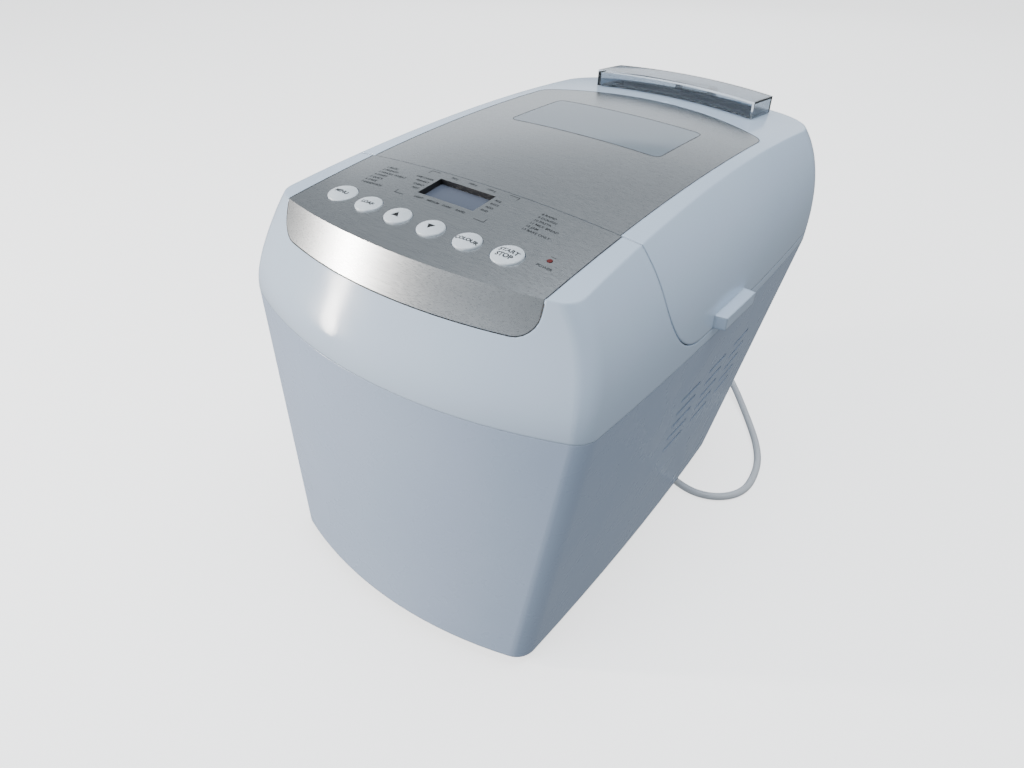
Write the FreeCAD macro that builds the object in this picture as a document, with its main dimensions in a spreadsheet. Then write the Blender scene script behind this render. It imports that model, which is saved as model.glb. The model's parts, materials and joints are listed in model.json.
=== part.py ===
import FreeCAD, Part
import math
import os
import Sketcher
from FreeCAD import Placement, Rotation, Vector

# Bread machine: tapering lower housing, hood with a steel control plate, hinged lid with a window and an
# ingredient dispenser, and inside them the baking chamber, the pan and the belt drive of the paddle.
# X runs to the right, Y to the back and Z up. The origin is on the floor, under the middle of the machine.

DRIVING = [
    # Housing: plan sections at six heights, each with a bowed front, bowed sides and a bowed rear.
    ("depth", 389.6, "front of the housing to the rear of the lid"),
    ("foot_height", 10, "floor to the bottom edge of the housing"),
    ("lower_height", 189.6, "bottom edge to the parting line under the hood"),
    ("wall", 2.6, "moulded wall"),
    ("front_radius", 300, "plan radius of the front"),
    ("rear_radius", 650, "plan radius of the rear"),
    ("side_radius", 2600, "plan radius of the sides"),
    ("front_corner", 15, "plan radius of the front corners"),
    ("rear_corner", 38, "plan radius of the rear corners"),
    ("bottom_front_half", 106, "half width at the bottom, front corners"),
    ("bottom_rear_half", 98, "half width at the bottom, rear corners"),
    ("bottom_rear_setback", 61, "how far the rear comes in at the bottom"),
    ("belt_front_half", 130, "half width at the parting line, front"),
    ("belt_rear_half", 125, "half width at the parting line, rear"),
    ("belt_rear_setback", 14, "how far the rear comes in at the parting line"),
    ("bulge_rise", 25.4, "section above the parting line"),
    ("bulge_front_half", 127.5, "half width there, front"),
    ("bulge_rear_half", 124, "half width there, rear"),
    ("bulge_front_setback", 5.5, "how far the front leans back there"),
    ("bulge_rear_setback", 10, "how far the rear comes in there"),
    ("shoulder_rise", 48.4, "section above the parting line"),
    ("shoulder_front_half", 120, "half width there, front"),
    ("shoulder_rear_half", 118, "half width there, rear"),
    ("shoulder_front_setback", 15.8, "how far the front leans back there"),
    ("shoulder_rear_setback", 4, "how far the rear comes in there"),
    ("crest_rise", 66.4, "section above the parting line"),
    ("crest_front_half", 109, "half width there, front"),
    ("crest_rear_half", 108, "half width there, rear"),
    ("crest_front_setback", 22.6, "how far the front leans back there"),
    ("rim_rise", 90, "uppermost section, above the crown"),
    ("rim_front_half", 84, "half width there, front"),
    ("rim_rear_half", 83, "half width there, rear"),
    ("rim_front_setback", 36, "how far the front leans back there"),
    ("rim_rear_setback", 18, "how far the rear comes in there"),
    ("crown_rise", 84.4, "highest point of the top above the parting line"),
    ("crown_setback", 228.6, "highest point behind the front"),
    ("crown_long_radius", 1520, "radius of the top from front to back"),
    ("crown_cross_radius", 1070, "radius of the top across"),
    # Seam between hood and lid.
    ("split_setback", 108.6, "front edge of the lid behind the front"),
    ("lid_edge_rise", 6.9, "lower edge of the lid above the parting line"),
    ("lid_corner", 40, "radius of the lid's lower front corner"),
    ("seam_gap", 0.5, "gap round the lid"),
    ("deck_gauge", 3, "deck round the chamber mouth"),
    # Steel plates.
    ("plate_gauge", 0.8, "steel plate"),
    ("plate_gap", 0.35, "gap round a steel plate"),
    ("control_half", 93, "half width of the control plate"),
    ("skirt_rise", 48.4, "lower edge of the skirt above the parting line"),
    ("skirt_corner", 12, "radius of the skirt's lower corners"),
    ("lid_plate_half", 92, "half width of the lid plate"),
    ("lid_plate_rear_space", 67.6, "rear of the lid plate to the rear of the lid"),
    ("lid_plate_rear_radius", 190, "plan radius of its rear edge"),
    ("lid_plate_corner", 12, "radius of its rear corners"),
    # Window in the lid.
    ("window_rear_space", 180, "front edge of the window to the rear of the lid"),
    ("window_length", 63, "window from front to back"),
    ("window_half", 59, "half width of the window"),
    ("window_corner", 5, "corner radius of the window"),
    ("glass_gauge", 1.8, "outer window"),
    ("glass_gap", 0.3, "gap round a pane"),
    ("glass_ledge", 4, "ledge under the pane"),
    ("inner_glass_gauge", 3, "inner pane"),
    # Lid inside.
    ("liner_gauge", 0.8, "sheet of the liners"),
    ("lid_liner_half", 104, "half width of the lid liner"),
    ("lid_liner_setback", 120.6, "front of the lid liner behind the front"),
    ("lid_liner_rear_space", 31, "rear of the lid liner to the rear of the lid"),
    ("lid_liner_corner", 40, "corner radius of the lid liner"),
    ("lid_liner_flange", 8, "flange of the lid liner"),
    ("lid_liner_height", 49.6, "flange to the top of the lid liner"),
    ("gasket_height", 1.6, "lid gasket"),
    ("gasket_width", 4, "lid gasket"),
    ("seat_gap", 0.3, "gap between pieces that rest or turn on each other"),
    ("lid_boss_radius", 3.5, "bosses that carry the lid liner"),
    ("first_boss_setback", 158.6, "first bosses behind the front"),
    ("second_boss_setback", 238.6, "second bosses behind the front"),
    ("third_boss_rear_space", 76, "third bosses to the rear of the lid"),
    ("tab_reach", 140.4, "lift tab, from the middle plane"),
    ("tab_setback", 157.6, "front of the lift tab behind the front"),
    ("tab_length", 54, "lift tab along the side"),
    ("tab_slant", 7.8, "slant of its front end"),
    ("tab_rear_slant", 4.5, "slant of its rear end"),
    ("tab_height", 8.5, "lift tab"),
    # Lid hinge.
    ("hinge_reach", 5.2, "hinge axis behind the housing at the lid's edge"),
    ("knuckle_radius", 5, "hinge knuckles"),
    ("knuckle_width", 9, "hinge knuckles"),
    ("hinge_half", 50, "middle plane to the inner knuckles"),
    ("hinge_pin_radius", 2, "hinge pins"),
    ("running_gap", 0.08, "radial clearance of pins and shafts"),
    ("press_gap", 0.02, "radial clearance of what is pressed on"),
    # Ingredient dispenser.
    ("box_rear_space", 51.2, "front of the smoked box, at its ends, to the rear of the lid"),
    ("box_depth", 36, "smoked box from front to back, at its ends"),
    ("box_half", 67.3, "half length of the smoked box"),
    ("box_front_radius", 450, "plan radius of its front"),
    ("box_rear_radius", 330, "plan radius of its rear"),
    ("box_rise", 12.6, "top of the smoked box above the lid"),
    ("box_wall", 2, "smoked box"),
    ("tray_gauge", 1.5, "dispenser tray"),
    ("tray_gap", 0.9, "tray flange to the inside of the box"),
    ("chute_half", 58, "half length of the chute"),
    ("chute_rear_space", 39.6, "chute mouth to the rear of the lid"),
    ("chute_depth", 20, "chute from front to back"),
    ("chute_shift", 62, "how far the chute leads forward"),
    ("chute_drop", 14, "lower end of the chute below the lid liner's top"),
    ("flap_gauge", 1.2, "dispenser flap"),
    ("flap_barrel", 2.2, "radius of the flap's hinge barrel"),
    ("flap_pin", 1.1, "radius of the flap's pivots"),
    ("cover_barrel", 2.6, "radius of the cover's hinge barrel"),
    ("cover_barrel_half", 12, "half length of the cover's hinge barrel"),
    ("cover_pin", 1.2, "radius of the cover's pivots"),
    ("ear_width", 5, "ears of the dispenser hinges"),
    # Keys and display. The key row is bowed like the front.
    ("key_setback", 52, "key row behind the front, in the middle"),
    ("key_first", -66.5, "first key from the middle plane"),
    ("key_pitch", 24.7, "key to key"),
    ("key_arc", 450, "plan radius of the key row"),
    ("key_radius", 8.1, "small keys"),
    ("end_key_radius", 9.1, "first and last key"),
    ("key_gap", 0.4, "gap round a key"),
    ("key_rise", 2.2, "top of a key above the plate"),
    ("key_dome", 26, "radius of a key's top"),
    ("key_travel", 0.8, "travel of a key"),
    ("key_flange", 1.3, "key flange, wider than the key"),
    ("key_flange_depth", 3.7, "top of the key flange under the plate"),
    ("key_stem_radius", 2, "stem over the switch"),
    ("key_stem_gap", 0.15, "pressed key to its switch"),
    ("board_depth", 13, "control board under the plate"),
    ("board_gauge", 1.6, "circuit boards"),
    ("board_half", 84, "half width of the control board"),
    ("board_front", 14, "control board in front of the key row"),
    ("board_length", 64, "control board from front to back"),
    ("board_boss_radius", 3.5, "bosses that carry the control board"),
    ("switch_height", 4, "key switches"),
    ("switch_width", 6, "key switches"),
    ("display_offset", -7, "middle of the display from the middle plane"),
    ("display_setback", 90.2, "middle of the display behind the front"),
    ("display_width", 42, "display opening"),
    ("display_length", 21, "display opening"),
    ("display_depth", 4.2, "display lens under the plate"),
    ("lens_gauge", 1.5, "display lens"),
    ("lens_margin", 1.7, "display lens beyond the opening"),
    ("lamp_offset", 77, "power lamp from the middle plane"),
    ("lamp_setback", 65, "power lamp behind the front"),
    ("lamp_radius", 1.5, "power lamp"),
    ("lamp_gap", 0.2, "gap round the power lamp"),
    # Base, chassis and drive.
    ("base_gauge", 3, "base plate"),
    ("base_rim", 1.3, "rim of the housing round the base plate"),
    ("base_gap", 0.2, "gap round the base plate"),
    ("foot_radius", 10, "feet"),
    ("front_foot_half", 82, "front feet from the middle plane"),
    ("front_foot_setback", 46, "front feet behind the front"),
    ("rear_foot_half", 76, "rear feet from the middle plane"),
    ("rear_foot_space", 95.6, "rear feet to the rear of the lid"),
    ("post_radius", 6, "posts of the base plate and the chassis"),
    ("post_half", 72, "posts of the base plate from the middle plane"),
    ("front_post_setback", 42, "front posts behind the front"),
    ("rear_post_space", 117.6, "rear posts to the rear of the lid"),
    ("chassis_rise", 26, "chassis above the bottom edge of the housing"),
    ("chassis_gauge", 1.5, "chassis sheet"),
    ("chassis_half", 86, "half width of the chassis"),
    ("chassis_setback", 24, "front of the chassis behind the front"),
    ("chassis_rear_space", 79.6, "rear of the chassis to the rear of the lid"),
    ("chassis_corner", 22, "corner radius of the chassis"),
    ("screw_radius", 1.9, "screws"),
    ("screw_head", 3.6, "radius of the screw heads"),
    ("screw_head_height", 2.2, "screw heads"),
    ("screw_length", 12, "screws under the head"),
    ("boss_radius", 4.5, "screw bosses of the lower housing"),
    ("boss_height", 16, "screw bosses of the lower housing"),
    ("boss_front_setback", 92, "front screw bosses behind the front"),
    ("boss_rear_space", 167.6, "rear screw bosses to the rear of the lid"),
    ("boss_inset", 6, "screw bosses from the inside of the wall"),
    ("motor_setback", 66, "motor axis behind the front"),
    ("motor_radius", 36, "motor"),
    ("motor_height", 80, "motor"),
    ("shaft_radius", 4, "shafts"),
    ("belt_rise", 11, "lower edge of the belt above the bottom edge"),
    ("belt_width", 8, "belt"),
    ("belt_gauge", 2, "belt"),
    ("belt_side_gap", 1, "belt to the pulley flanges"),
    ("pulley_flange", 2, "pulley flanges"),
    ("pulley_lip", 3.2, "pulley flanges beyond the belt seat"),
    ("driven_radius", 46, "belt seat of the driven pulley"),
    ("motor_pulley_radius", 9, "belt seat of the motor pulley"),
    ("hub_radius", 12, "hub of the driven pulley"),
    ("web_gauge", 4, "web of the driven pulley"),
    ("bush_radius", 7, "shaft bush"),
    ("bush_flange", 9, "radius of the bush's flange"),
    ("bush_flange_gauge", 1.5, "bush flange"),
    ("bearing_radius", 13, "bearing housing"),
    ("bearing_flange", 30, "radius of the bearing flange"),
    ("bearing_flange_gauge", 3, "bearing flange"),
    ("bearing_height", 16, "bearing housing"),
    # Baking chamber.
    ("chamber_half", 96, "half width of the chamber"),
    ("chamber_front_space", 126.6, "front of the chamber behind the front of the housing"),
    ("chamber_rear_space", 63, "rear of the chamber to the rear of the lid"),
    ("chamber_corner", 30, "corner radius of the chamber"),
    ("chamber_floor", 46, "chamber floor above the bottom edge"),
    ("chamber_flange", 6, "flange of the chamber on the deck"),
    ("chamber_gap", 0.6, "chamber to the deck"),
    ("chamber_hole", 33, "radius of the hole in the chamber floor"),
    ("chamber_post_half", 78, "chamber posts from the middle plane"),
    ("chamber_post_spread", 66, "chamber posts from the paddle axis"),
    ("element_radius", 3.2, "heating element"),
    ("element_half", 86, "half width of the element's loop"),
    ("element_end_gap", 7, "ends of the element's loop to the chamber wall"),
    ("element_corner", 30, "corner radius of the element"),
    ("element_rise", 32, "element above the chamber floor"),
    ("element_tail", 15, "half distance between the element's tails"),
    ("element_tail_length", 20, "element's tails"),
    ("element_bend", 9, "bend of the element's tails"),
    ("clip_gauge", 2, "element clips"),
    ("clip_height", 16, "element clips"),
    ("clip_reach", 13, "element clips from the chamber wall"),
    ("clip_spread", 44, "element clips from the paddle axis"),
    ("probe_radius", 3, "temperature probe"),
    ("probe_flange", 7, "radius of the probe's flange"),
    ("probe_rise", 70, "probe above the chamber floor"),
    ("probe_offset", 40, "probe from the middle plane"),
    ("probe_length", 12, "probe inside the chamber"),
    # Bread pan and its drive.
    ("socket_radius", 45, "pan socket"),
    ("socket_flange", 52, "radius of the socket's flange"),
    ("socket_wall", 3, "pan socket"),
    ("socket_height", 11.4, "pan socket"),
    ("socket_shelf", 3.4, "shelf under the pan foot"),
    ("hook_width", 8, "hooks and lugs of the bayonet"),
    ("hook_gauge", 2.2, "hooks of the bayonet"),
    ("hook_reach", 6.6, "hooks of the bayonet"),
    ("foot_ring_radius", 37, "pan foot"),
    ("foot_ring_wall", 4, "pan foot"),
    ("foot_ring_height", 13.4, "pan foot"),
    ("lug_rise", 1.4, "lugs above the lower edge of the pan foot"),
    ("lug_gauge", 3.2, "lugs of the bayonet"),
    ("lug_reach", 4, "lugs of the bayonet"),
    ("pan_half", 64, "half width of the pan at its rim"),
    ("pan_end_gap", 20, "ends of the pan, at its rim, to the chamber wall"),
    ("pan_corner", 28, "corner radius of the pan"),
    ("pan_draft", 4, "how far the pan's walls come in"),
    ("pan_height", 123, "pan"),
    ("pan_wall", 1.5, "pan"),
    ("pan_rim", 3.5, "rim of the pan"),
    ("pan_rim_height", 2.2, "rim of the pan"),
    ("seal_radius", 9, "pan seal"),
    ("seal_flange", 13, "radius of the seal's flange"),
    ("seal_flange_gauge", 1.5, "seal flange"),
    ("seal_depth", 3.5, "pan seal under the pan floor"),
    ("dog_radius", 15, "drive dog"),
    ("dog_gauge", 3, "drive dog"),
    ("dog_pin_radius", 3.5, "pins of the drive dog"),
    ("dog_pin_spread", 10.5, "pins of the drive dog from the axis"),
    ("dog_pin_height", 7, "pins of the drive dog"),
    ("coupler_hub", 6.2, "radius of the pan coupler's hub"),
    ("coupler_height", 9, "pan coupler"),
    ("coupler_half", 15, "half length of the coupler's wings"),
    ("coupler_width", 7, "wings of the pan coupler"),
    ("coupler_wing_height", 5, "wings of the pan coupler"),
    ("paddle_hub", 9, "radius of the paddle's hub"),
    ("paddle_rise", 1.2, "paddle above the seal"),
    ("paddle_hub_height", 30, "paddle hub"),
    ("paddle_reach", 45, "paddle blade from the axis"),
    ("paddle_tip_height", 9, "paddle blade at its tip"),
    ("paddle_root_height", 27, "paddle blade at its hub"),
    ("paddle_gauge", 5, "paddle blade"),
    ("ear_half", 8, "half width of the pan's ears"),
    ("ear_gauge", 3, "ears of the pan"),
    ("pivot_rise", 4.5, "handle pivots above the pan's rim"),
    ("handle_radius", 2, "wire of the pan handle"),
    ("handle_length", 50, "pivots to the grip"),
    ("handle_bend", 12, "bends of the pan handle"),
    ("handle_half", 74, "arms of the handle from the middle plane"),
    # Power board.
    ("power_board_offset", 65, "power board from the middle plane"),
    ("power_board_setback", 70, "middle of the power board behind the front"),
    ("power_board_width", 38, "power board"),
    ("power_board_length", 66, "power board"),
    ("standoff_height", 8, "standoffs of the power board"),
    ("standoff_radius", 3, "standoffs of the power board"),
    ("transformer_height", 24, "transformer"),
    ("relay_height", 16, "relay"),
    # Side vents.
    ("vent_columns", 3, "vent slots along the side"),
    ("vent_rows", 5, "vent slots one above the other"),
    ("vent_setback", 152, "first vent slots behind the front"),
    ("vent_length", 28, "vent slots"),
    ("vent_pitch", 42, "vent slots along the side"),
    ("vent_rise", 99, "lowest vent slots above the bottom edge"),
    ("vent_row_pitch", 11.3, "vent slots one above the other"),
    ("vent_height", 3, "vent slots"),
    # Mains cord.
    ("cord_radius", 3.1, "mains cord"),
    ("gland_offset", 18, "cord gland from the middle plane"),
    ("gland_rise", 25, "cord gland above the bottom edge"),
    ("gland_radius", 6, "cord gland in the wall"),
    ("gland_collar", 9, "radius of the gland's collars"),
    ("gland_collar_gauge", 2, "gland collars"),
    ("gland_taper", 22, "tapered sleeve of the gland"),
    ("gland_tip", 4.2, "radius of the gland's tip"),
    ("coil_radius", 38, "outermost turn of the coil"),
    ("coil_pitch", 6.9, "turn to turn and layer to layer"),
    ("coil_half_turns", 2, "half turns in the lower layer of the coil"),
    ("tail_run", 20, "straight runs of the cord's tail"),
    ("tail_runs", 5, "runs of the cord's tail"),
    ("tail_turn", 15, "bends of the cord's tail, in degrees"),
    ("tie_width", 9, "cord tie"),
    ("tie_gauge", 1.2, "cord tie"),
    ("plug_radius", 18, "plug"),
    ("plug_face", 15, "front part of the plug"),
    ("plug_grip", 22, "tapering part of the plug"),
    ("plug_relief", 20, "strain relief of the plug"),
    ("plug_relief_radius", 5, "strain relief of the plug, at the plug"),
    ("plug_pin_radius", 2.4, "pins of the plug"),
    ("plug_pin_length", 19, "pins of the plug"),
    ("plug_pin_spread", 9.5, "pins of the plug from its axis"),
]

# Sizes that follow from the others: what lies behind the split keeps its distance from the rear.
DERIVED = [
    ("chamber_half_length", "=(depth - chamber_front_space - chamber_rear_space) / 2", "half length of the chamber"),
    ("drive_setback", "=chamber_front_space + chamber_half_length", "paddle axis behind the front"),
    ("element_half_length", "=chamber_half_length - element_end_gap", "half length of the element's loop"),
    ("pan_half_length", "=chamber_half_length - pan_end_gap", "half length of the pan at its rim"),
    ("window_setback", "=depth - window_rear_space", "front edge of the window behind the front"),
    ("lid_plate_rear_setback", "=depth - lid_plate_rear_space", "rear of the lid plate behind the front"),
    ("lid_liner_length", "=depth - lid_liner_setback - lid_liner_rear_space", "lid liner from front to back"),
    ("third_boss_setback", "=depth - third_boss_rear_space", "third bosses behind the front"),
    ("box_setback", "=depth - box_rear_space", "front of the smoked box behind the front, at its ends"),
    ("chute_setback", "=depth - chute_rear_space", "chute mouth behind the front"),
    ("rear_foot_setback", "=depth - rear_foot_space", "rear feet behind the front"),
    ("rear_post_setback", "=depth - rear_post_space", "rear posts behind the front"),
    ("chassis_length", "=depth - chassis_setback - chassis_rear_space", "chassis from front to back"),
    ("boss_rear_setback", "=depth - boss_rear_space", "rear screw bosses behind the front"),
]

doc = FreeCAD.newDocument("bread_machine")
sheet = doc.addObject("Spreadsheet::Sheet", "sizes")
for row, (alias, value, meaning) in enumerate(DRIVING + DERIVED, start=1):
    sheet.set(f"A{row}", meaning)
    sheet.set(f"B{row}", str(value))
    sheet.setAlias(f"B{row}", alias)
doc.recompute()

nodes = []


def size(alias):
    return float(sheet.get(alias))


def worth(expression):
    return float(sheet.evalExpression(expression))


def named(text):
    # Puts the sheet's name before each alias, so that a short formula can be bound to the cells.
    words = {alias for alias, value, meaning in DRIVING + DERIVED}
    out = ""
    word = ""
    for mark in text + " ":
        if mark.isalnum() or mark == "_":
            word += mark
            continue
        out += f"sizes.{word}" if word in words else word
        out += mark
        word = ""
    return out.strip()


# Positions that several pieces share, as formulas on the cells.
FRONT = "-depth / 2"
BELT_Z = "(foot_height + lower_height)"
LID_Z = f"({BELT_Z} + lid_edge_rise)"
DRIVE_Y = f"({FRONT} + drive_setback)"
MOTOR_Y = f"({FRONT} + motor_setback)"
CHASSIS_Z = "(foot_height + chassis_rise)"
CHASSIS_TOP = f"({CHASSIS_Z} + chassis_gauge)"
BELT_LOW = "(foot_height + belt_rise)"
PULLEY_LOW = f"({BELT_LOW} - belt_side_gap - pulley_flange)"
PULLEY_HEIGHT = "(belt_width + 2 * belt_side_gap + 2 * pulley_flange)"
CHAMBER_Z = "(foot_height + chamber_floor)"
CHAMBER_TOP = f"({CHAMBER_Z} + liner_gauge)"
FOOT_RING_Z = f"({CHAMBER_TOP} + socket_shelf + seat_gap)"
PAN_Z = f"({FOOT_RING_Z} + foot_ring_height)"
PAN_RIM_Z = f"({PAN_Z} + pan_height)"
PIVOT_Z = f"({PAN_RIM_Z} + pivot_rise)"
DOG_Z = f"({CHAMBER_TOP} + seat_gap)"
COUPLER_Z = f"({DOG_Z} + dog_gauge + seat_gap)"
SEAL_TOP = f"({PAN_Z} + pan_wall + seal_flange_gauge)"
FLANGE_Z = f"({LID_Z} + seat_gap + gasket_height)"
LINER_TOP = f"({FLANGE_Z} + lid_liner_height)"


def at(formula):
    return worth(named(formula))


def top_formula(x, y):
    # Height of the crowned top: an arc across, turned about an axis that runs across far below.
    cross = f"(crown_long_radius - crown_cross_radius + sqrt(crown_cross_radius ^ 2 - ({x}) ^ 2))"
    away = f"(({y}) - ({FRONT}) - crown_setback)"
    return f"({BELT_Z} + crown_rise - crown_long_radius + sqrt({cross} ^ 2 - {away} ^ 2))"


def plane(owner, role):
    return next(feature for feature in owner.Origin.OriginFeatures if feature.Role == role)


def node(made, label):
    made.Label = label
    nodes.append(made)
    return made


def new_body(label):
    return node(doc.addObject("PartDesign::Body", label), label)


def place(made, x="0", y="0", z="0", turn=None):
    made.Placement = Placement(Vector(0, 0, 0), turn or Rotation())
    for axis, formula in (("x", x), ("y", y), ("z", z)):
        made.setExpression(f"Placement.Base.{axis}", named(formula))
    return made


def new_sketch(owner, role, height="0"):
    sketch = owner.newObject("Sketcher::SketchObject", f"{owner.Name}_outline")
    sketch.AttachmentSupport = [(plane(owner, role), "")]
    sketch.MapMode = "FlatFace"
    sketch.setExpression("AttachmentOffset.Base.z", named(height))
    return sketch


def bind(sketch, constraint, name, formula):
    index = sketch.addConstraint(constraint)
    sketch.renameConstraint(index, name)
    sketch.setExpression(f"Constraints.{name}", named(formula))


def outline(owner, role, points, arcs=None, height="0"):
    # A closed outline whose corners are formulas. arcs gives a side its radius, and 1 or -1 for the way it bows.
    arcs = arcs or {}
    sketch = new_sketch(owner, role, height)
    corners = [Vector(at(x), at(y), 0) for x, y in points]
    count = len(corners)
    for index, start in enumerate(corners):
        end = corners[(index + 1) % count]
        if index not in arcs:
            sketch.addGeometry(Part.LineSegment(start, end))
            continue
        formula, side = arcs[index]
        radius = at(formula)
        chord = end - start
        across = Vector(-chord.y, chord.x, 0).normalize() * side
        centre = (start + end) * 0.5 + across * math.sqrt(radius ** 2 - chord.Length ** 2 / 4)
        sketch.addGeometry(Part.Arc(start, centre - across * radius, end))
    ends = []
    for index, start in enumerate(corners):
        forward = (sketch.Geometry[index].StartPoint - start).Length < 1e-6
        ends.append((1, 2) if forward else (2, 1))
    for index in range(count):
        after = (index + 1) % count
        sketch.addConstraint(Sketcher.Constraint("Coincident", index, ends[index][1], after, ends[after][0]))
    for index, (x, y) in enumerate(points):
        first = ends[index][0]
        bind(sketch, Sketcher.Constraint("DistanceX", -1, 1, index, first, corners[index].x), f"x{index}", x)
        bind(sketch, Sketcher.Constraint("DistanceY", -1, 1, index, first, corners[index].y), f"y{index}", y)
        if index in arcs:
            formula = arcs[index][0]
            bind(sketch, Sketcher.Constraint("Radius", index, at(formula)), f"r{index}", formula)
    return sketch


def ring(owner, role, circles, height="0"):
    # Circles given as (x, y, radius).
    sketch = new_sketch(owner, role, height)
    for index, (x, y, radius) in enumerate(circles):
        centre = Vector(at(x), at(y), 0)
        sketch.addGeometry(Part.Circle(centre, Vector(0, 0, 1), at(radius)))
        bind(sketch, Sketcher.Constraint("DistanceX", -1, 1, index, 3, centre.x), f"x{index}", x)
        bind(sketch, Sketcher.Constraint("DistanceY", -1, 1, index, 3, centre.y), f"y{index}", y)
        bind(sketch, Sketcher.Constraint("Radius", index, at(radius)), f"r{index}", radius)
    return sketch


def rounded(owner, half, half_length, corner, height="0", middle="0"):
    # A rounded rectangle on the XY plane, centred on X.
    x = (f"-({half})", f"-({half}) + {corner}", f"({half}) - ({corner})", half)
    y = (f"{middle} - ({half_length})", f"{middle} - ({half_length}) + {corner}",
         f"{middle} + ({half_length}) - ({corner})", f"{middle} + {half_length}")
    points = [(x[1], y[0]), (x[2], y[0]), (x[3], y[1]), (x[3], y[2]),
              (x[2], y[3]), (x[1], y[3]), (x[0], y[2]), (x[0], y[1])]
    arcs = {side: (corner, 1) for side in (1, 3, 5, 7)}
    return outline(owner, "XY_Plane", points, arcs, height)


def rectangle(owner, x_low, x_high, y_low, y_high, height="0", role="XY_Plane"):
    points = [(x_low, y_low), (x_high, y_low), (x_high, y_high), (x_low, y_high)]
    return outline(owner, role, points, None, height)


def pad(owner, sketch, length, both=False):
    made = owner.newObject("PartDesign::Pad", f"{owner.Name}_pad")
    made.Profile = sketch
    made.Midplane = both
    made.setExpression("Length", named(length))
    return made


def pocket(owner, sketch, length):
    # Cuts upwards from the sketch's plane.
    doc.recompute()
    before = owner.Shape.Volume
    made = owner.newObject("PartDesign::Pocket", f"{owner.Name}_pocket")
    made.Profile = sketch
    made.Reversed = True
    made.setExpression("Length", named(length))
    doc.recompute()
    if owner.Shape.Volume > before - 1e-3:
        raise RuntimeError(f"{owner.Label}: a pocket cuts nothing")
    return made


def turned(owner, points, arcs=None):
    # Turns a half profile, given as (radius, height), about the Z axis.
    sketch = outline(owner, "XZ_Plane", points, arcs)
    made = owner.newObject("PartDesign::Revolution", f"{owner.Name}_turn")
    made.Profile = sketch
    made.ReferenceAxis = (sketch, ["V_Axis"])
    made.Angle = 360
    return made


def solid(label, shape, turn=None, base=None):
    # A free form whose sizes are read from the sheet.
    made = node(doc.addObject("Part::Feature", label), label)
    made.Shape = shape.removeSplitter()
    made.Placement = Placement(base or Vector(0, 0, 0), turn or Rotation())
    return made


# Plan sections of the housing.
def level(name, rise):
    def setback(end):
        alias = f"{name}_{end}_setback"
        return size(alias) if alias in {entry[0] for entry in DRIVING} else 0.0
    return {
        "z": rise,
        "front_half": size(f"{name}_front_half"),
        "rear_half": size(f"{name}_rear_half"),
        "front": -size("depth") / 2 + setback("front"),
        "rear": size("depth") / 2 - setback("rear"),
    }


def circles_meet(first, first_radius, second, second_radius, near):
    # The crossing of two circles that lies nearest to a point.
    line = second - first
    along = (first_radius ** 2 - second_radius ** 2 + line.Length ** 2) / (2 * line.Length)
    aside = math.sqrt(first_radius ** 2 - along ** 2)
    unit = Vector(line).normalize()
    normal = Vector(-unit.y, unit.x, 0)
    found = [first + unit * along + normal * aside, first + unit * along - normal * aside]
    return min(found, key=lambda point: (point - near).Length)


def on_circle(centre, radius, towards):
    return centre + Vector(towards - centre).normalize() * radius


def flip(point):
    return Vector(-point.x, point.y, point.z)


def plan_circles(plan):
    # Centres of the front, rear and side arcs, with the corner points that the side joins.
    radius = {name: size(f"{name}_radius") for name in ("front", "rear", "side")}
    front = Vector(0, plan["front"] + radius["front"], 0)
    rear = Vector(0, plan["rear"] - radius["rear"], 0)
    near = Vector(plan["front_half"], front.y - math.sqrt(radius["front"] ** 2 - plan["front_half"] ** 2), 0)
    far = Vector(plan["rear_half"], rear.y + math.sqrt(radius["rear"] ** 2 - plan["rear_half"] ** 2), 0)
    chord = far - near
    inward = Vector(-chord.y, chord.x, 0).normalize()
    side = (near + far) * 0.5 + inward * math.sqrt(radius["side"] ** 2 - chord.Length ** 2 / 4)
    return radius, front, rear, side, near, far


def side_half(plan, y, inset):
    # Half width of a section at a place along its side.
    radius, front, rear, side, near, far = plan_circles(plan)
    return side.x + math.sqrt((radius["side"] - inset) ** 2 - (y - side.y) ** 2)


def section(plan, inset=0.0):
    # Bowed front, sides and rear joined by corner arcs, drawn in by the inset.
    radius, front, rear, side, near, far = plan_circles(plan)
    corner = {name: size(f"{name}_corner") for name in ("front", "rear")}
    bend = circles_meet(front, radius["front"] - corner["front"], side, radius["side"] - corner["front"], near)
    turn = circles_meet(side, radius["side"] - corner["rear"], rear, radius["rear"] - corner["rear"], far)
    a = on_circle(front, radius["front"] - inset, bend)
    b = on_circle(side, radius["side"] - inset, bend)
    c = on_circle(side, radius["side"] - inset, turn)
    d = on_circle(rear, radius["rear"] - inset, turn)
    ab = on_circle(bend, corner["front"] - inset, (a + b) * 0.5)
    bc = on_circle(side, radius["side"] - inset, (b + c) * 0.5)
    cd = on_circle(turn, corner["rear"] - inset, (c + d) * 0.5)
    middle_front = Vector(0, plan["front"] + inset, 0)
    middle_rear = Vector(0, plan["rear"] - inset, 0)
    runs = [(flip(a), middle_front, a), (a, ab, b), (b, bc, c), (c, cd, d), (d, middle_rear, flip(d)),
            (flip(d), flip(cd), flip(c)), (flip(c), flip(bc), flip(b)), (flip(b), flip(ab), flip(a))]
    lift = Vector(0, 0, plan["z"])
    return Part.Wire([Part.Arc(p + lift, q + lift, r + lift).toShape() for p, q, r in runs])


belt_z = at(BELT_Z)
lid_z = at(LID_Z)
front_y = at(FRONT)
bottom_plan = level("bottom", size("foot_height"))
belt_plan = level("belt", belt_z)
hood_plans = [belt_plan]
for name in ("bulge", "shoulder", "crest", "rim"):
    hood_plans.append(level(name, belt_z + size(f"{name}_rise")))


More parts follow.
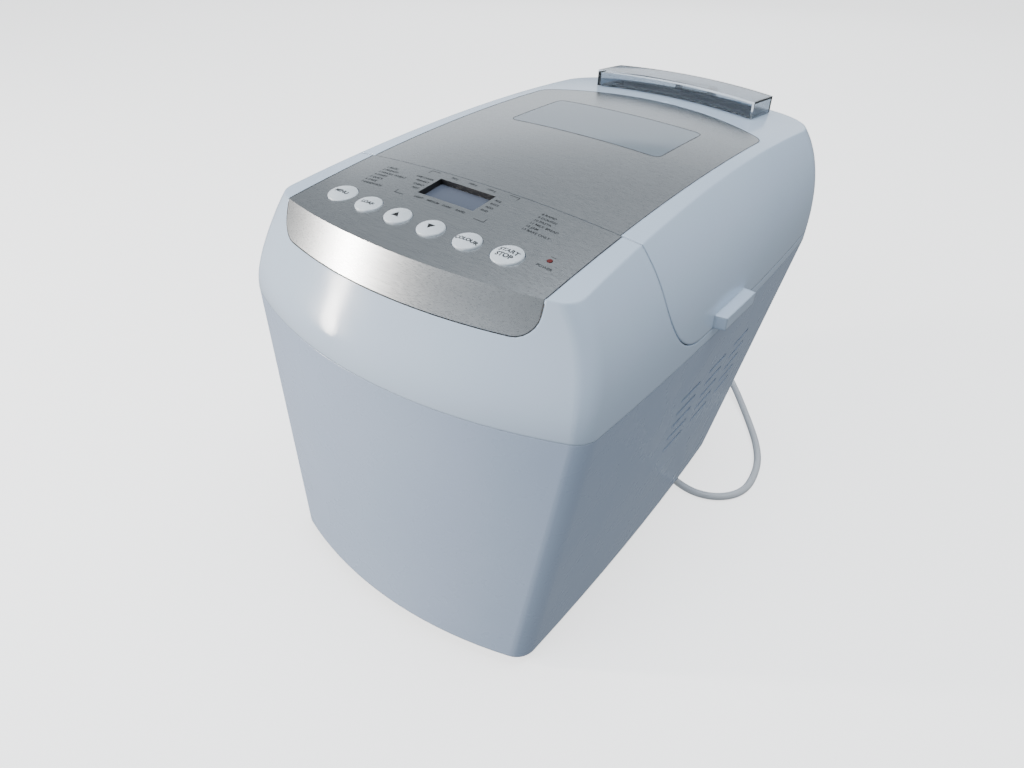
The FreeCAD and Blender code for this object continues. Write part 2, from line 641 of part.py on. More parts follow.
def crown(inset=0.0):
    # Barrel whose upper face is the crowned top.
    reach = size("belt_front_half") * 1.3
    long_radius = size("crown_long_radius")
    cross_radius = size("crown_cross_radius")
    apex = belt_z + size("crown_rise") - inset
    y = front_y + size("crown_setback")
    drop = cross_radius - math.sqrt(cross_radius ** 2 - reach ** 2)
    low = belt_z - size("lower_height") / 2
    edge = Part.Arc(Vector(-reach, y, apex - drop), Vector(0, y, apex), Vector(reach, y, apex - drop)).toShape()
    corners = [Vector(reach, y, apex - drop), Vector(reach, y, low), Vector(-reach, y, low),
               Vector(-reach, y, apex - drop)]
    face = Part.Face(Part.Wire([edge] + Part.makePolygon(corners).Edges))
    axis = Vector(0, y, belt_z + size("crown_rise") - long_radius)
    half_turn = math.degrees(math.asin(size("depth") * 0.8 / long_radius))
    face.rotate(axis, Vector(1, 0, 0), -half_turn)
    return face.revolve(axis, Vector(1, 0, 0), 2 * half_turn)


def hood(inset=0.0):
    lofted = Part.makeLoft([section(plan, inset) for plan in hood_plans], True, False)
    return lofted.common(crown(inset))


def lower(inset=0.0):
    return Part.makeLoft([section(bottom_plan, inset), section(belt_plan, inset)], True, True)


def block(x_low, x_high, y_low, y_high, z_low, z_high):
    made = Part.makeBox(x_high - x_low, y_high - y_low, z_high - z_low)
    made.translate(Vector(x_low, y_low, z_low))
    return made


def rod(radius, start, direction, length):
    return Part.makeCylinder(radius, length, start, direction)


def prism(points, arcs, along):
    # Extrudes a closed outline in space. arcs gives a side the point that it passes through.
    edges = []
    for index, start in enumerate(points):
        end = points[(index + 1) % len(points)]
        if index in arcs:
            edges.append(Part.Arc(start, arcs[index], end).toShape())
        else:
            edges.append(Part.LineSegment(start, end).toShape())
    return Part.Face(Part.Wire(edges)).extrude(along)


def rounded_prism(half, y_low, y_high, corner, z_low, z_high, middle=0.0):
    slant = corner * (1 - math.sqrt(0.5))
    x_low, x_high = middle - half, middle + half
    points = [Vector(x_low + corner, y_low, z_low), Vector(x_high - corner, y_low, z_low),
              Vector(x_high, y_low + corner, z_low), Vector(x_high, y_high - corner, z_low),
              Vector(x_high - corner, y_high, z_low), Vector(x_low + corner, y_high, z_low),
              Vector(x_low, y_high - corner, z_low), Vector(x_low, y_low + corner, z_low)]
    arcs = {1: Vector(x_high - slant, y_low + slant, z_low), 3: Vector(x_high - slant, y_high - slant, z_low),
            5: Vector(x_low + slant, y_high - slant, z_low), 7: Vector(x_low + slant, y_low + slant, z_low)}
    return prism(points, arcs, Vector(0, 0, z_high - z_low))


outer = hood()
skin = hood(size("plate_gauge"))
core = hood(size("wall"))
overlap = size("wall") / 2
fat_core = hood(size("wall") - overlap)
shell = outer.cut(core)
reach = size("tab_reach") + size("wall")
above = at(BELT_Z) + size("rim_rise")
split_y = front_y + size("split_setback")
rear_end = size("depth")


def lid_zone(gap):
    # Everything behind the split and above the lid's lower edge.
    return block(-reach, reach, split_y + gap, rear_end, lid_z + gap, above)


def lid_corner_zone(gap):
    # The same with the round lower front corner that the outer wall has.
    y = split_y + gap
    z = lid_z + gap
    corner = size("lid_corner")
    slant = corner * (1 - math.sqrt(0.5))
    points = [Vector(-reach, y, above), Vector(-reach, y, z + corner), Vector(-reach, y + corner, z),
              Vector(-reach, rear_end, z), Vector(-reach, rear_end, above)]
    return prism(points, {1: Vector(-reach, y + slant, z + slant)}, Vector(2 * reach, 0, 0))


def top_z(x, y):
    return at(top_formula(str(x), str(y)))


# Base, lower housing and feet.
UP = Vector(0, 0, 1)
wall = size("wall")
plate_low = size("foot_height")
plate_top = at("foot_height + base_gauge")


def pairs(half, *setbacks):
    # Points on both sides of the middle plane.
    return [Vector(side * half, front_y + setback, 0) for setback in setbacks for side in (-1, 1)]


def boss_spots():
    spots = []
    for alias in ("boss_front_setback", "boss_rear_setback"):
        y = front_y + size(alias)
        half = side_half(bottom_plan, y, wall) - size("boss_inset")
        spots += [Vector(side * half, y, 0) for side in (-1, 1)]
    return spots


def vent_slots():
    slots = []
    round_end = size("vent_height") / 2
    far = size("belt_front_half") + wall
    for column in range(int(size("vent_columns"))):
        y = front_y + size("vent_setback") + column * size("vent_pitch")
        for row in range(int(size("vent_rows"))):
            z = plate_low + size("vent_rise") + row * size("vent_row_pitch")
            near, end = y + round_end, y + size("vent_length") - round_end
            points = [Vector(0, near, z - round_end), Vector(0, end, z - round_end),
                      Vector(0, end, z + round_end), Vector(0, near, z + round_end)]
            arcs = {1: Vector(0, end + round_end, z), 3: Vector(0, near - round_end, z)}
            slot = prism(points, arcs, Vector(far - size("chamber_half"), 0, 0))
            for start in (size("chamber_half"), -far):
                moved = slot.copy()
                moved.translate(Vector(start, 0, 0))
                slots.append(moved)
    return slots


def rear_of(body, x, z):
    # Rearmost point of a solid on a line from front to back.
    line = Part.makeLine(Vector(x, -rear_end, z), Vector(x, rear_end, z))
    return body.common(line).BoundBox.YMax


lower_outer = lower()
gland_x = size("gland_offset")
gland_z = at("foot_height + gland_rise")
gland_wall = rear_of(lower_outer, gland_x, gland_z)

housing = lower_outer.cut(lower(wall))
ledge = Part.Face(section(bottom_plan, size("base_rim"))).extrude(UP * size("base_gauge"))
housing = housing.cut(ledge)
bosses = []
screw_holes = []
for spot in boss_spots():
    foot = spot + UP * plate_top
    bosses.append(rod(size("boss_radius"), foot, UP, size("boss_height")))
    edge = math.copysign(side_half(bottom_plan, spot.y, overlap), spot.x)
    bosses.append(block(min(spot.x, edge), max(spot.x, edge), spot.y - overlap, spot.y + overlap,
                        plate_top, plate_top + size("boss_height")))
    screw_holes.append(rod(size("screw_radius") + size("press_gap"), foot, UP, size("screw_length")))
gland_hole = rod(size("gland_radius") + size("press_gap"), Vector(gland_x, 0, gland_z), Vector(0, 1, 0), rear_end)
housing = housing.fuse(bosses).cut(screw_holes + vent_slots() + [gland_hole])
solid("lower_housing", housing)

base = Part.Face(section(bottom_plan, at("base_rim + base_gap"))).extrude(UP * size("base_gauge"))
posts = []
bores = []
post_spots = pairs(size("post_half"), size("front_post_setback"), size("rear_post_setback"))
for spot in post_spots:
    posts.append(rod(size("post_radius"), spot + UP * plate_low, UP, at(CHASSIS_Z) - plate_low))
    start = spot + UP * (at(CHASSIS_Z) - size("screw_length"))
    bores.append(rod(size("screw_radius") + size("press_gap"), start, UP, size("screw_length")))
for spot in boss_spots():
    bores.append(rod(at("screw_radius + seat_gap"), spot, UP, plate_top))
solid("base_plate", base.fuse(posts).cut(bores))


def screws(label, seats, direction):
    # Screws of one kind as one group. The head lies on its seat, the shank runs along the direction.
    made = []
    for seat in seats:
        head = rod(size("screw_head"), seat, -direction, size("screw_head_height"))
        shank = rod(size("screw_radius"), seat, direction, size("screw_length"))
        made.append(head.fuse(shank).removeSplitter())
    solid(label, Part.makeCompound(made))


screws("base_screws", [spot + UP * plate_low for spot in boss_spots()], UP)

feet = []
for half, setback in (("front_foot_half", "front_foot_setback"), ("rear_foot_half", "rear_foot_setback")):
    for side in (-1, 1):
        foot = doc.addObject("Part::Cylinder", "foot")
        foot.setExpression("Radius", named("foot_radius"))
        foot.setExpression("Height", named("foot_height"))
        place(foot, f"{side} * {half}", f"{FRONT} + {setback}")
        feet.append(foot)
group = node(doc.addObject("Part::Compound", "feet"), "feet")
group.Links = feet

# Chassis with its posts, the motor and the belt drive.
CHASSIS_MIDDLE = "(chassis_setback + chassis_length / 2)"
chassis = new_body("chassis")
place(chassis, "0", f"{FRONT} + {CHASSIS_MIDDLE}", CHASSIS_Z)
pad(chassis, rounded(chassis, "chassis_half", "chassis_length / 2", "chassis_corner"), "chassis_gauge")
post_circles = []
for side in (-1, 1):
    for end in (-1, 1):
        y = f"drive_setback + {end} * chamber_post_spread - {CHASSIS_MIDDLE}"
        post_circles.append((f"{side} * chamber_post_half", y, "post_radius"))
pad(chassis, ring(chassis, "XY_Plane", post_circles), f"{CHAMBER_Z} - {CHASSIS_Z}")
standoffs = []
for side in (-1, 1):
    for end in (-1, 1):
        x = f"power_board_offset + {side} * (power_board_width / 2 - standoff_radius)"
        y = f"power_board_setback + {end} * (power_board_length / 2 - standoff_radius) - {CHASSIS_MIDDLE}"
        standoffs.append((x, y, "standoff_radius"))
pad(chassis, ring(chassis, "XY_Plane", standoffs), "chassis_gauge + standoff_height")
holes = [("0", f"drive_setback - {CHASSIS_MIDDLE}", "shaft_radius + screw_radius"),
         ("0", f"motor_setback - {CHASSIS_MIDDLE}", "shaft_radius + screw_radius")]
for setback in ("front_post_setback", "rear_post_setback"):
    for side in (-1, 1):
        holes.append((f"{side} * post_half", f"{setback} - {CHASSIS_MIDDLE}", "screw_radius + seat_gap"))
pocket(chassis, ring(chassis, "XY_Plane", holes), "chassis_gauge")
screws("chassis_screws", [spot + UP * at(CHASSIS_TOP) for spot in post_spots], -UP)

motor = new_body("motor")
place(motor, "0", MOTOR_Y, CHASSIS_TOP)
turned(motor, [("shaft_radius + running_gap", "0"), ("motor_radius", "0"), ("motor_radius", "motor_height * 0.7"),
               ("motor_radius * 0.85", "motor_height * 0.75"), ("motor_radius * 0.85", "motor_height"),
               ("0", "motor_height"), ("0", "motor_height / 2"),
               ("shaft_radius + running_gap", "motor_height / 2")])


def shaft(label, y, low, high):
    made = node(doc.addObject("Part::Cylinder", label), label)
    made.setExpression("Radius", named("shaft_radius"))
    made.setExpression("Height", named(f"{high} - ({low})"))
    place(made, "0", y, low)


SHAFT_LOW = f"({PULLEY_LOW} - pulley_flange)"
shaft("motor_shaft", MOTOR_Y, SHAFT_LOW, f"({CHASSIS_TOP} + motor_height / 2 - pulley_flange)")
shaft("drive_shaft", DRIVE_Y, SHAFT_LOW, f"({DOG_Z} + dog_gauge)")

BORE = "shaft_radius + press_gap"
RUNNING_BORE = "shaft_radius + running_gap"


def belt_seat(seat):
    # The rim's outer side: two flanges with the belt's seat between them.
    lip = f"{seat} + pulley_lip"
    high = f"{PULLEY_HEIGHT} - pulley_flange"
    return [(lip, "0"), (lip, "pulley_flange"), (seat, "pulley_flange"), (seat, high), (lip, high),
            (lip, PULLEY_HEIGHT)]


motor_pulley = new_body("motor_pulley")
place(motor_pulley, "0", MOTOR_Y, PULLEY_LOW)
turned(motor_pulley, [(BORE, "0")] + belt_seat("motor_pulley_radius") + [(BORE, PULLEY_HEIGHT)])

driven_pulley = new_body("driven_pulley")
place(driven_pulley, "0", DRIVE_Y, PULLEY_LOW)
WEB_LOW = f"({PULLEY_HEIGHT} - web_gauge) / 2"
WEB_HIGH = f"({PULLEY_HEIGHT} + web_gauge) / 2"
RIM_IN = "driven_radius - web_gauge"
turned(driven_pulley, [(BORE, "0"), ("hub_radius", "0"), ("hub_radius", WEB_LOW), (RIM_IN, WEB_LOW), (RIM_IN, "0")]
       + belt_seat("driven_radius")
       + [(RIM_IN, PULLEY_HEIGHT), (RIM_IN, WEB_HIGH), ("hub_radius", WEB_HIGH), ("hub_radius", PULLEY_HEIGHT),
          (BORE, PULLEY_HEIGHT)])


def belt_loop(grow):
    # Outline round both pulleys: two arcs and the straight runs that touch them.
    far = Vector(0, at(DRIVE_Y), at(BELT_LOW))
    near = Vector(0, at(MOTOR_Y), at(BELT_LOW))
    far_radius = size("driven_radius") + grow
    near_radius = size("motor_pulley_radius") + grow
    lean = (far_radius - near_radius) / (far.y - near.y)
    right = Vector(math.sqrt(1 - lean ** 2), -lean, 0)
    left = Vector(-right.x, right.y, 0)
    points = [near + left * near_radius, near + right * near_radius, far + right * far_radius,
              far + left * far_radius]
    arcs = {0: near - Vector(0, near_radius, 0), 2: far + Vector(0, far_radius, 0)}
    return prism(points, arcs, UP * size("belt_width"))


solid("drive_belt", belt_loop(at("seat_gap + belt_gauge")).cut(belt_loop(size("seat_gap"))))

bearing_housing = new_body("bearing_housing")
place(bearing_housing, "0", DRIVE_Y, CHASSIS_TOP)
turned(bearing_housing, [("bush_radius + press_gap", "0"), ("bearing_flange", "0"),
                         ("bearing_flange", "bearing_flange_gauge"), ("bearing_radius", "bearing_flange_gauge"),
                         ("bearing_radius", "bearing_height"), ("bush_radius + press_gap", "bearing_height")])

shaft_bush = new_body("shaft_bush")
place(shaft_bush, "0", DRIVE_Y, CHASSIS_TOP)
turned(shaft_bush, [(RUNNING_BORE, "0"), ("bush_radius", "0"), ("bush_radius", "bearing_height"),
                    ("bush_flange", "bearing_height"), ("bush_flange", "bearing_height + bush_flange_gauge"),
                    (RUNNING_BORE, "bearing_height + bush_flange_gauge")])

power_board = new_body("power_board")
place(power_board, "power_board_offset", f"{FRONT} + power_board_setback", f"{CHASSIS_TOP} + standoff_height")
pad(power_board, rectangle(power_board, "-power_board_width / 2", "power_board_width / 2",
                           "-power_board_length / 2", "power_board_length / 2"), "board_gauge")
pad(power_board, rectangle(power_board, "-power_board_width * 0.4", "power_board_width * 0.35",
                           "0", "power_board_length * 0.42"), "board_gauge + transformer_height")
pad(power_board, rectangle(power_board, "-power_board_width * 0.4", "power_board_width * 0.1",
                           "-power_board_length * 0.42", "-power_board_length * 0.12"),
    "board_gauge + relay_height")

# Baking chamber, its element, probe and pan socket.
chamber = new_body("chamber_liner")
place(chamber, "0", DRIVE_Y, CHAMBER_Z)
CHAMBER_DEPTH = f"({LID_Z} - {CHAMBER_Z} + liner_gauge)"
pad(chamber, rounded(chamber, "chamber_half + liner_gauge", "chamber_half_length + liner_gauge",
                     "(chamber_corner + liner_gauge)"), CHAMBER_DEPTH)
FLANGE_GROW = "liner_gauge + chamber_flange"
pad(chamber, rounded(chamber, f"chamber_half + {FLANGE_GROW}", f"chamber_half_length + {FLANGE_GROW}",
                     f"(chamber_corner + {FLANGE_GROW})", f"{LID_Z} - {CHAMBER_Z}"), "liner_gauge")
pocket(chamber, rounded(chamber, "chamber_half", "chamber_half_length", "chamber_corner", "liner_gauge"),
       CHAMBER_DEPTH)
pocket(chamber, ring(chamber, "XY_Plane", [("0", "0", "chamber_hole")]), "liner_gauge")
front_holes = [("probe_offset", "liner_gauge + probe_rise", "probe_radius + press_gap")]
for side in (-1, 1):
    front_holes.append((f"{side} * element_tail", "liner_gauge + element_rise", "element_radius + seat_gap"))
pocket(chamber, ring(chamber, "XZ_Plane", front_holes, "chamber_half_length - liner_gauge"), "3 * liner_gauge")


def pipe(edges, radius):
    # A round bar along a chain of runs and arcs.
    path = Part.Wire(edges)
    first = path.Edges[0]
    start = first.valueAt(first.FirstParameter)
    along = first.tangentAt(first.FirstParameter)
    profile = Part.Wire(Part.makeCircle(radius, start, along))
    return path.makePipeShell([profile], True, False)


def rounded_path(points, radii):
    # Straight runs through the points, with a tangent arc of the given radius at each inner point.
    edges = []
    last = points[0]
    for index in range(1, len(points) - 1):
        corner = points[index]
        back = Vector(points[index - 1] - corner).normalize()
        ahead = Vector(points[index + 1] - corner).normalize()
        half = back.getAngle(ahead) / 2
        leg = radii[index - 1] / math.tan(half)
        start = corner + back * leg
        end = corner + ahead * leg
        inner = Vector(back + ahead).normalize()
        middle = corner + inner * (radii[index - 1] / math.sin(half) - radii[index - 1])
        if (start - last).Length > 1e-6:
            edges.append(Part.LineSegment(last, start).toShape())
        edges.append(Part.Arc(start, middle, end).toShape())
        last = end
    edges.append(Part.LineSegment(last, points[-1]).toShape())
    return edges


drive_y = at(DRIVE_Y)
chamber_top = at(CHAMBER_TOP)
element_z = chamber_top + size("element_rise")
loop = [(-size("element_tail"), -at("chamber_half_length + element_tail_length")),
        (-size("element_tail"), -size("element_half_length")),
        (-size("element_half"), -size("element_half_length")),
        (-size("element_half"), size("element_half_length"))]
loop = loop + [(-x, y) for x, y in reversed(loop)]
bends = [size("element_bend"), size("element_corner"), size("element_corner")]
loop_points = [Vector(x, drive_y + y, element_z) for x, y in loop]
solid("heating_element", pipe(rounded_path(loop_points, bends + bends[::-1]), size("element_radius")))

clips = []
half_clip = size("clip_height") / 2
for side in (-1, 1):
    for end in (-1, 1):
        wall_x = side * size("chamber_half")
        tip_x = side * at("chamber_half - clip_reach")
        y = drive_y + end * size("clip_spread") - size("clip_gauge") / 2
        clip = block(min(wall_x, tip_x), max(wall_x, tip_x), y, y + size("clip_gauge"),
                     element_z - half_clip, element_z + half_clip)
        bore = rod(at("element_radius + running_gap"), Vector(side * size("element_half"), y, element_z),
                   Vector(0, 1, 0), size("clip_gauge"))
        clips.append(clip.cut(bore))
solid("element_clips", Part.makeCompound(clips))

probe_at = Vector(size("probe_offset"), drive_y - size("chamber_half_length"), chamber_top + size("probe_rise"))
BACK = Vector(0, 1, 0)
probe = rod(size("probe_radius"), probe_at - BACK * size("probe_length"), BACK, 2 * size("probe_length"))
solid("temperature_probe", probe.fuse(rod(size("probe_flange"), probe_at, BACK, 2 * size("liner_gauge"))))

pan_socket = new_body("pan_socket")
place(pan_socket, "0", DRIVE_Y, CHAMBER_TOP)
SOCKET_IN = "socket_radius - socket_wall"
SHELF_IN = "foot_ring_radius - foot_ring_wall - socket_wall"
turned(pan_socket, [(SHELF_IN, "0"), ("socket_flange", "0"), ("socket_flange", "socket_shelf / 2"),
                    ("socket_radius", "socket_shelf / 2"), ("socket_radius", "socket_height"),
                    (SOCKET_IN, "socket_height"), (SOCKET_IN, "socket_shelf"), (SHELF_IN, "socket_shelf")])
pan_foot = new_body("pan_foot")
place(pan_foot, "0", DRIVE_Y, FOOT_RING_Z)
FOOT_IN = "foot_ring_radius - foot_ring_wall"
turned(pan_foot, [(FOOT_IN, "0"), ("foot_ring_radius", "0"), ("foot_ring_radius", "foot_ring_height"),
                  (FOOT_IN, "foot_ring_height")])
for side in (-1, 1):
    ends = (f"{side} * (socket_radius - hook_reach)", f"{side} * (socket_radius - socket_wall / 2)")
    low, high = ends[::side]
    hook = rectangle(pan_socket, low, high, "-hook_width / 2", "hook_width / 2", "socket_height - hook_gauge")
    pad(pan_socket, hook, "hook_gauge")
    ends = (f"{side} * (foot_ring_radius - foot_ring_wall / 2)", f"{side} * (foot_ring_radius + lug_reach)")
    low, high = ends[::side]
    lug = rectangle(pan_foot, low, high, "-hook_width / 2", "hook_width / 2", "lug_rise")
    pad(pan_foot, lug, "lug_gauge")

# Bread pan with its handle, and the drive that reaches into it.
pan = new_body("bread_pan")
place(pan, "0", DRIVE_Y, PAN_Z)


def pan_section(grow, height):
    # The pan's outline at a height: its walls come in towards the floor.
    inward = f"pan_draft * (1 - ({height}) / pan_height)"
    return rounded(pan, f"(pan_half + {grow} - {inward})", f"(pan_half_length + {grow} - {inward})",
                   f"(pan_corner + {grow} - {inward})", height)


def pan_loft(kind, grow, low, high):
    lower_end = pan_section(grow, low)
    upper_end = pan_section(grow, high)
    made = pan.newObject(f"PartDesign::{kind}Loft", f"pan_{kind}")
    made.Profile = lower_end
    made.Sections = [upper_end]
    made.Ruled = True
    return made


pan_loft("Additive", "0", "0", "pan_height")
pad(pan, rounded(pan, "(pan_half + pan_rim)", "(pan_half_length + pan_rim)", "(pan_corner + pan_rim)",
                 "pan_height - pan_rim_height"), "pan_rim_height")
for side in (-1, 1):
    ends = (f"{side} * (pan_half + pan_rim - ear_gauge)", f"{side} * (pan_half + pan_rim)")
    low, high = ends[::side]
    ear = rectangle(pan, low, high, "-ear_half", "ear_half", "pan_height - pan_rim_height")
    pad(pan, ear, "pan_rim_height + pivot_rise + ear_half / 2")
pan_loft("Subtractive", "-pan_wall", "pan_wall", "pan_height")
pocket(pan, ring(pan, "XY_Plane", [("0", "0", "seal_radius + press_gap")]), "pan_wall")
for side in (-1, 1):
    start = "pan_half + pan_rim - 1.5 * ear_gauge" if side > 0 else "-(pan_half + pan_rim + 0.5 * ear_gauge)"
    pivot_hole = ring(pan, "YZ_Plane", [("0", "pan_height + pivot_rise", "handle_radius + running_gap")], start)
    pocket(pan, pivot_hole, "2 * ear_gauge")

grip_y = -size("handle_length")
handle_half = size("handle_half")
pin_end = at("pan_half + pan_rim - 1.5 * ear_gauge")
pin_bend = (handle_half - pin_end) * 0.45
outline_points = [(-pin_end, 0), (-handle_half, 0), (-handle_half, grip_y)]
outline_points += [(-x, y) for x, y in reversed(outline_points)]
handle_points = [Vector(x, drive_y + y, at(PIVOT_Z)) for x, y in outline_points]
handle_bends = [pin_bend, size("handle_bend")]
solid("pan_handle", pipe(rounded_path(handle_points, handle_bends + handle_bends[::-1]), size("handle_radius")))

pan_seal = new_body("pan_seal")
place(pan_seal, "0", DRIVE_Y, f"{PAN_Z} - seal_depth")
turned(pan_seal, [(RUNNING_BORE, "0"), ("seal_radius", "0"), ("seal_radius", "seal_depth + pan_wall"),
                  ("seal_flange", "seal_depth + pan_wall"),
                  ("seal_flange", "seal_depth + pan_wall + seal_flange_gauge"),
                  (RUNNING_BORE, "seal_depth + pan_wall + seal_flange_gauge")])

drive_dog = new_body("drive_dog")
place(drive_dog, "0", DRIVE_Y, DOG_Z)
turned(drive_dog, [(BORE, "0"), ("dog_radius", "0"), ("dog_radius", "dog_gauge"), (BORE, "dog_gauge")])
dog_pins = [("0", "dog_pin_spread", "dog_pin_radius"), ("0", "-dog_pin_spread", "dog_pin_radius")]
pad(drive_dog, ring(drive_dog, "XY_Plane", dog_pins), "dog_gauge + dog_pin_height")

pan_coupler = new_body("pan_coupler")
place(pan_coupler, "0", DRIVE_Y, COUPLER_Z)
pad(pan_coupler, ring(pan_coupler, "XY_Plane", [("0", "0", "coupler_hub")]), "coupler_height")
pad(pan_coupler, rectangle(pan_coupler, "-coupler_half", "coupler_half", "-coupler_width / 2", "coupler_width / 2"),
    "coupler_wing_height")
pocket(pan_coupler, ring(pan_coupler, "XY_Plane", [("0", "0", BORE)], "dog_gauge / 2"), "coupler_height")

PADDLE_Z = f"({SEAL_TOP} + paddle_rise)"
shaft("pan_shaft", DRIVE_Y, f"({COUPLER_Z} + dog_gauge / 2)", f"({PADDLE_Z} + paddle_hub_height - dog_gauge)")
paddle = new_body("kneading_paddle")
place(paddle, "0", DRIVE_Y, PADDLE_Z)
pad(paddle, ring(paddle, "XY_Plane", [("0", "0", "paddle_hub")]), "paddle_hub_height")
blade = outline(paddle, "XZ_Plane", [("0", "0"), ("paddle_reach", "0"), ("paddle_reach", "paddle_tip_height"),
                                     ("paddle_hub", "paddle_root_height"), ("0", "paddle_root_height")])
pad(paddle, blade, "paddle_gauge", True)
pocket(paddle, ring(paddle, "XY_Plane", [("0", "0", BORE)]), "paddle_hub_height - dog_gauge")

# Control panel: a frame that leans with the plate at the key row.
KEY_TILT = "atan((crown_setback - key_setback) / crown_long_radius)"
key_tilt = math.atan((size("crown_setback") - size("key_setback")) / size("crown_long_radius"))
LEAN = Rotation(Vector(1, 0, 0), math.degrees(key_tilt))
normal = LEAN.multVec(UP)
key_row_y = front_y + size("key_setback")
panel_frame = Placement(Vector(0, key_row_y, top_z(0, key_row_y)), LEAN)


def on_panel(shape):
    made = shape.copy()
    made.Placement = panel_frame.multiply(made.Placement)
    return made


KEY_NAMES = ("menu", "loaf", "up", "down", "colour", "start")
LAST_KEY = len(KEY_NAMES) - 1


def key_place(index):
    # Formulas for the middle of a key on the plate.
    x = f"(key_first + {index} * key_pitch)"
    y = f"({FRONT} + key_setback + key_arc - sqrt(key_arc ^ 2 - {x} ^ 2))"
    return x, y, top_formula(x, y)


def key_size(index):
    return "end_key_radius" if index in (0, LAST_KEY) else "key_radius"


key_spots = []
for index in range(len(KEY_NAMES)):
    x, y, z = key_place(index)
    key_spots.append(Vector(at(x), at(y), at(z)))
    key = new_body(f"key_{KEY_NAMES[index]}")
    place(key, x, y, z, LEAN)
    radius = key_size(index)
    back = f"({y} - ({FRONT}) - key_setback)"
    fall = f"({top_formula('0', f'{FRONT} + key_setback')} - {z})"
    sunk = f"({back} * sin({KEY_TILT}) + {fall} * cos({KEY_TILT}))"
    stem_end = f"-(board_depth - switch_height - key_travel - key_stem_gap - {sunk})"
    flange_low = "-(key_flange_depth + key_flange)"
    shoulder = f"key_rise - key_dome + sqrt(key_dome ^ 2 - {radius} ^ 2)"
    profile = [("0", "key_rise"), ("0", stem_end), ("key_stem_radius", stem_end), ("key_stem_radius", flange_low),
               (f"{radius} + key_flange", flange_low), (f"{radius} + key_flange", "-key_flange_depth"),
               (radius, "-key_flange_depth"), (radius, shoulder)]
    turned(key, profile, {7: ("key_dome", 1)})

board_low = -at("board_depth + board_gauge")
board_high = -size("board_depth")
board_front = -size("board_front")
board_rear = at("board_length - board_front")
board_half = size("board_half")
control_board = node(doc.addObject("Part::Box", "control_board"), "control_board")
control_board.setExpression("Length", named("2 * board_half"))
control_board.setExpression("Width", named("board_length"))
control_board.setExpression("Height", named("board_gauge"))
control_board.Placement = panel_frame.multiply(Placement(Vector(-board_half, board_front, board_low), Rotation()))

switches = []
half_switch = size("switch_width") / 2
for spot in key_spots:
    local = panel_frame.inverse().multVec(spot)
    switches.append(on_panel(block(local.x - half_switch, local.x + half_switch, local.y - half_switch,
                                   local.y + half_switch, board_high, board_high + size("switch_height"))))
solid("key_switches", Part.makeCompound(switches))

display_y = at("(display_setback - key_setback)") / math.cos(key_tilt)
display_x = size("display_offset")


def display_block(margin_x, margin_y, low, high):
    half_width = size("display_width") / 2 + margin_x
    half_length = size("display_length") / 2 + margin_y
    return on_panel(block(display_x - half_width, display_x + half_width, display_y - half_length,
                          display_y + half_length, low, high))


lens_top = -size("display_depth")
lens_low = lens_top - size("lens_gauge")
lens_margin = size("lens_margin")
solid("display_lens", display_block(lens_margin, lens_margin, lens_low, lens_top))
solid("display_module", display_block(2 * lens_margin, lens_margin, board_high, lens_low))
display_opening = display_block(0, 0, lens_low, size("board_depth"))

lamp_y = front_y + size("lamp_setback")
lamp_top = Vector(size("lamp_offset"), lamp_y, top_z(size("lamp_offset"), lamp_y)) + normal * size("lamp_gap")
lamp_length = panel_frame.inverse().multVec(lamp_top).z - board_high
solid("power_lamp", rod(size("lamp_radius"), lamp_top, -normal, lamp_length))

key_holes = []
for index, spot in enumerate(key_spots):
    radius = at(f"{key_size(index)} + key_gap")
    key_holes.append(rod(radius, spot - normal * size("board_depth"), normal, 2 * size("board_depth")))
lamp_hole = rod(at("lamp_radius + lamp_gap"), lamp_top + normal * wall, -normal, 4 * wall)
panel_holes = key_holes + [lamp_hole, display_opening]


def control_region(gap):
    # Front view of the control plate, with round lower corners, as a bar from front to back.
    half = size("control_half") + gap
    low = belt_z + size("skirt_rise") - gap
    corner = size("skirt_corner") + gap
    slant = corner * (1 - math.sqrt(0.5))
    start = front_y - wall
    points = [Vector(-half, start, above), Vector(-half, start, low + corner), Vector(-half + corner, start, low),
              Vector(half - corner, start, low), Vector(half, start, low + corner), Vector(half, start, above)]
    arcs = {1: Vector(-half + slant, start, low + slant), 3: Vector(half - slant, start, low + slant)}
    return prism(points, arcs, Vector(0, split_y - start + gap, 0))


veneer = outer.cut(skin)
solid("control_plate", veneer.common(control_region(0)).cut(panel_holes))

# Hood: the front of the shell, the strip under the lid, the deck and the bulkhead in front of the lid.
deck = size("deck_gauge")
hood_front = shell.cut(lid_corner_zone(0))
deck_sheet = fat_core.common(lid_zone(-deck)).cut(lid_zone(0))
mouth_half = at("chamber_half + liner_gauge + chamber_gap")
mouth_half_length = at("chamber_half_length + liner_gauge + chamber_gap")
mouth = rounded_prism(mouth_half, drive_y - mouth_half_length, drive_y + mouth_half_length,
                      at("chamber_corner + liner_gauge + chamber_gap"), lid_z - 2 * deck, lid_z + deck)
board_bosses = []
boss_edge = 2 * size("board_boss_radius")
for x in (-board_half + boss_edge, board_half - boss_edge):
    for y in (board_front + boss_edge, board_rear - boss_edge):
        boss = on_panel(rod(size("board_boss_radius"), Vector(x, y, board_high), UP, 2 * size("board_depth")))
        board_bosses.append(boss.common(fat_core))

hinge_y = rear_of(outer, 0, lid_z) + size("hinge_reach")
hinge_axis = Vector(0, hinge_y, lid_z)
knuckle = size("knuckle_radius")
knuckle_width = size("knuckle_width")
inner_knuckle = size("hinge_half")
outer_knuckle = at("hinge_half + knuckle_width + seam_gap")
RIGHT = Vector(1, 0, 0)
pin_bore = at("hinge_pin_radius + press_gap")
lid_bore = at("hinge_pin_radius + running_gap")


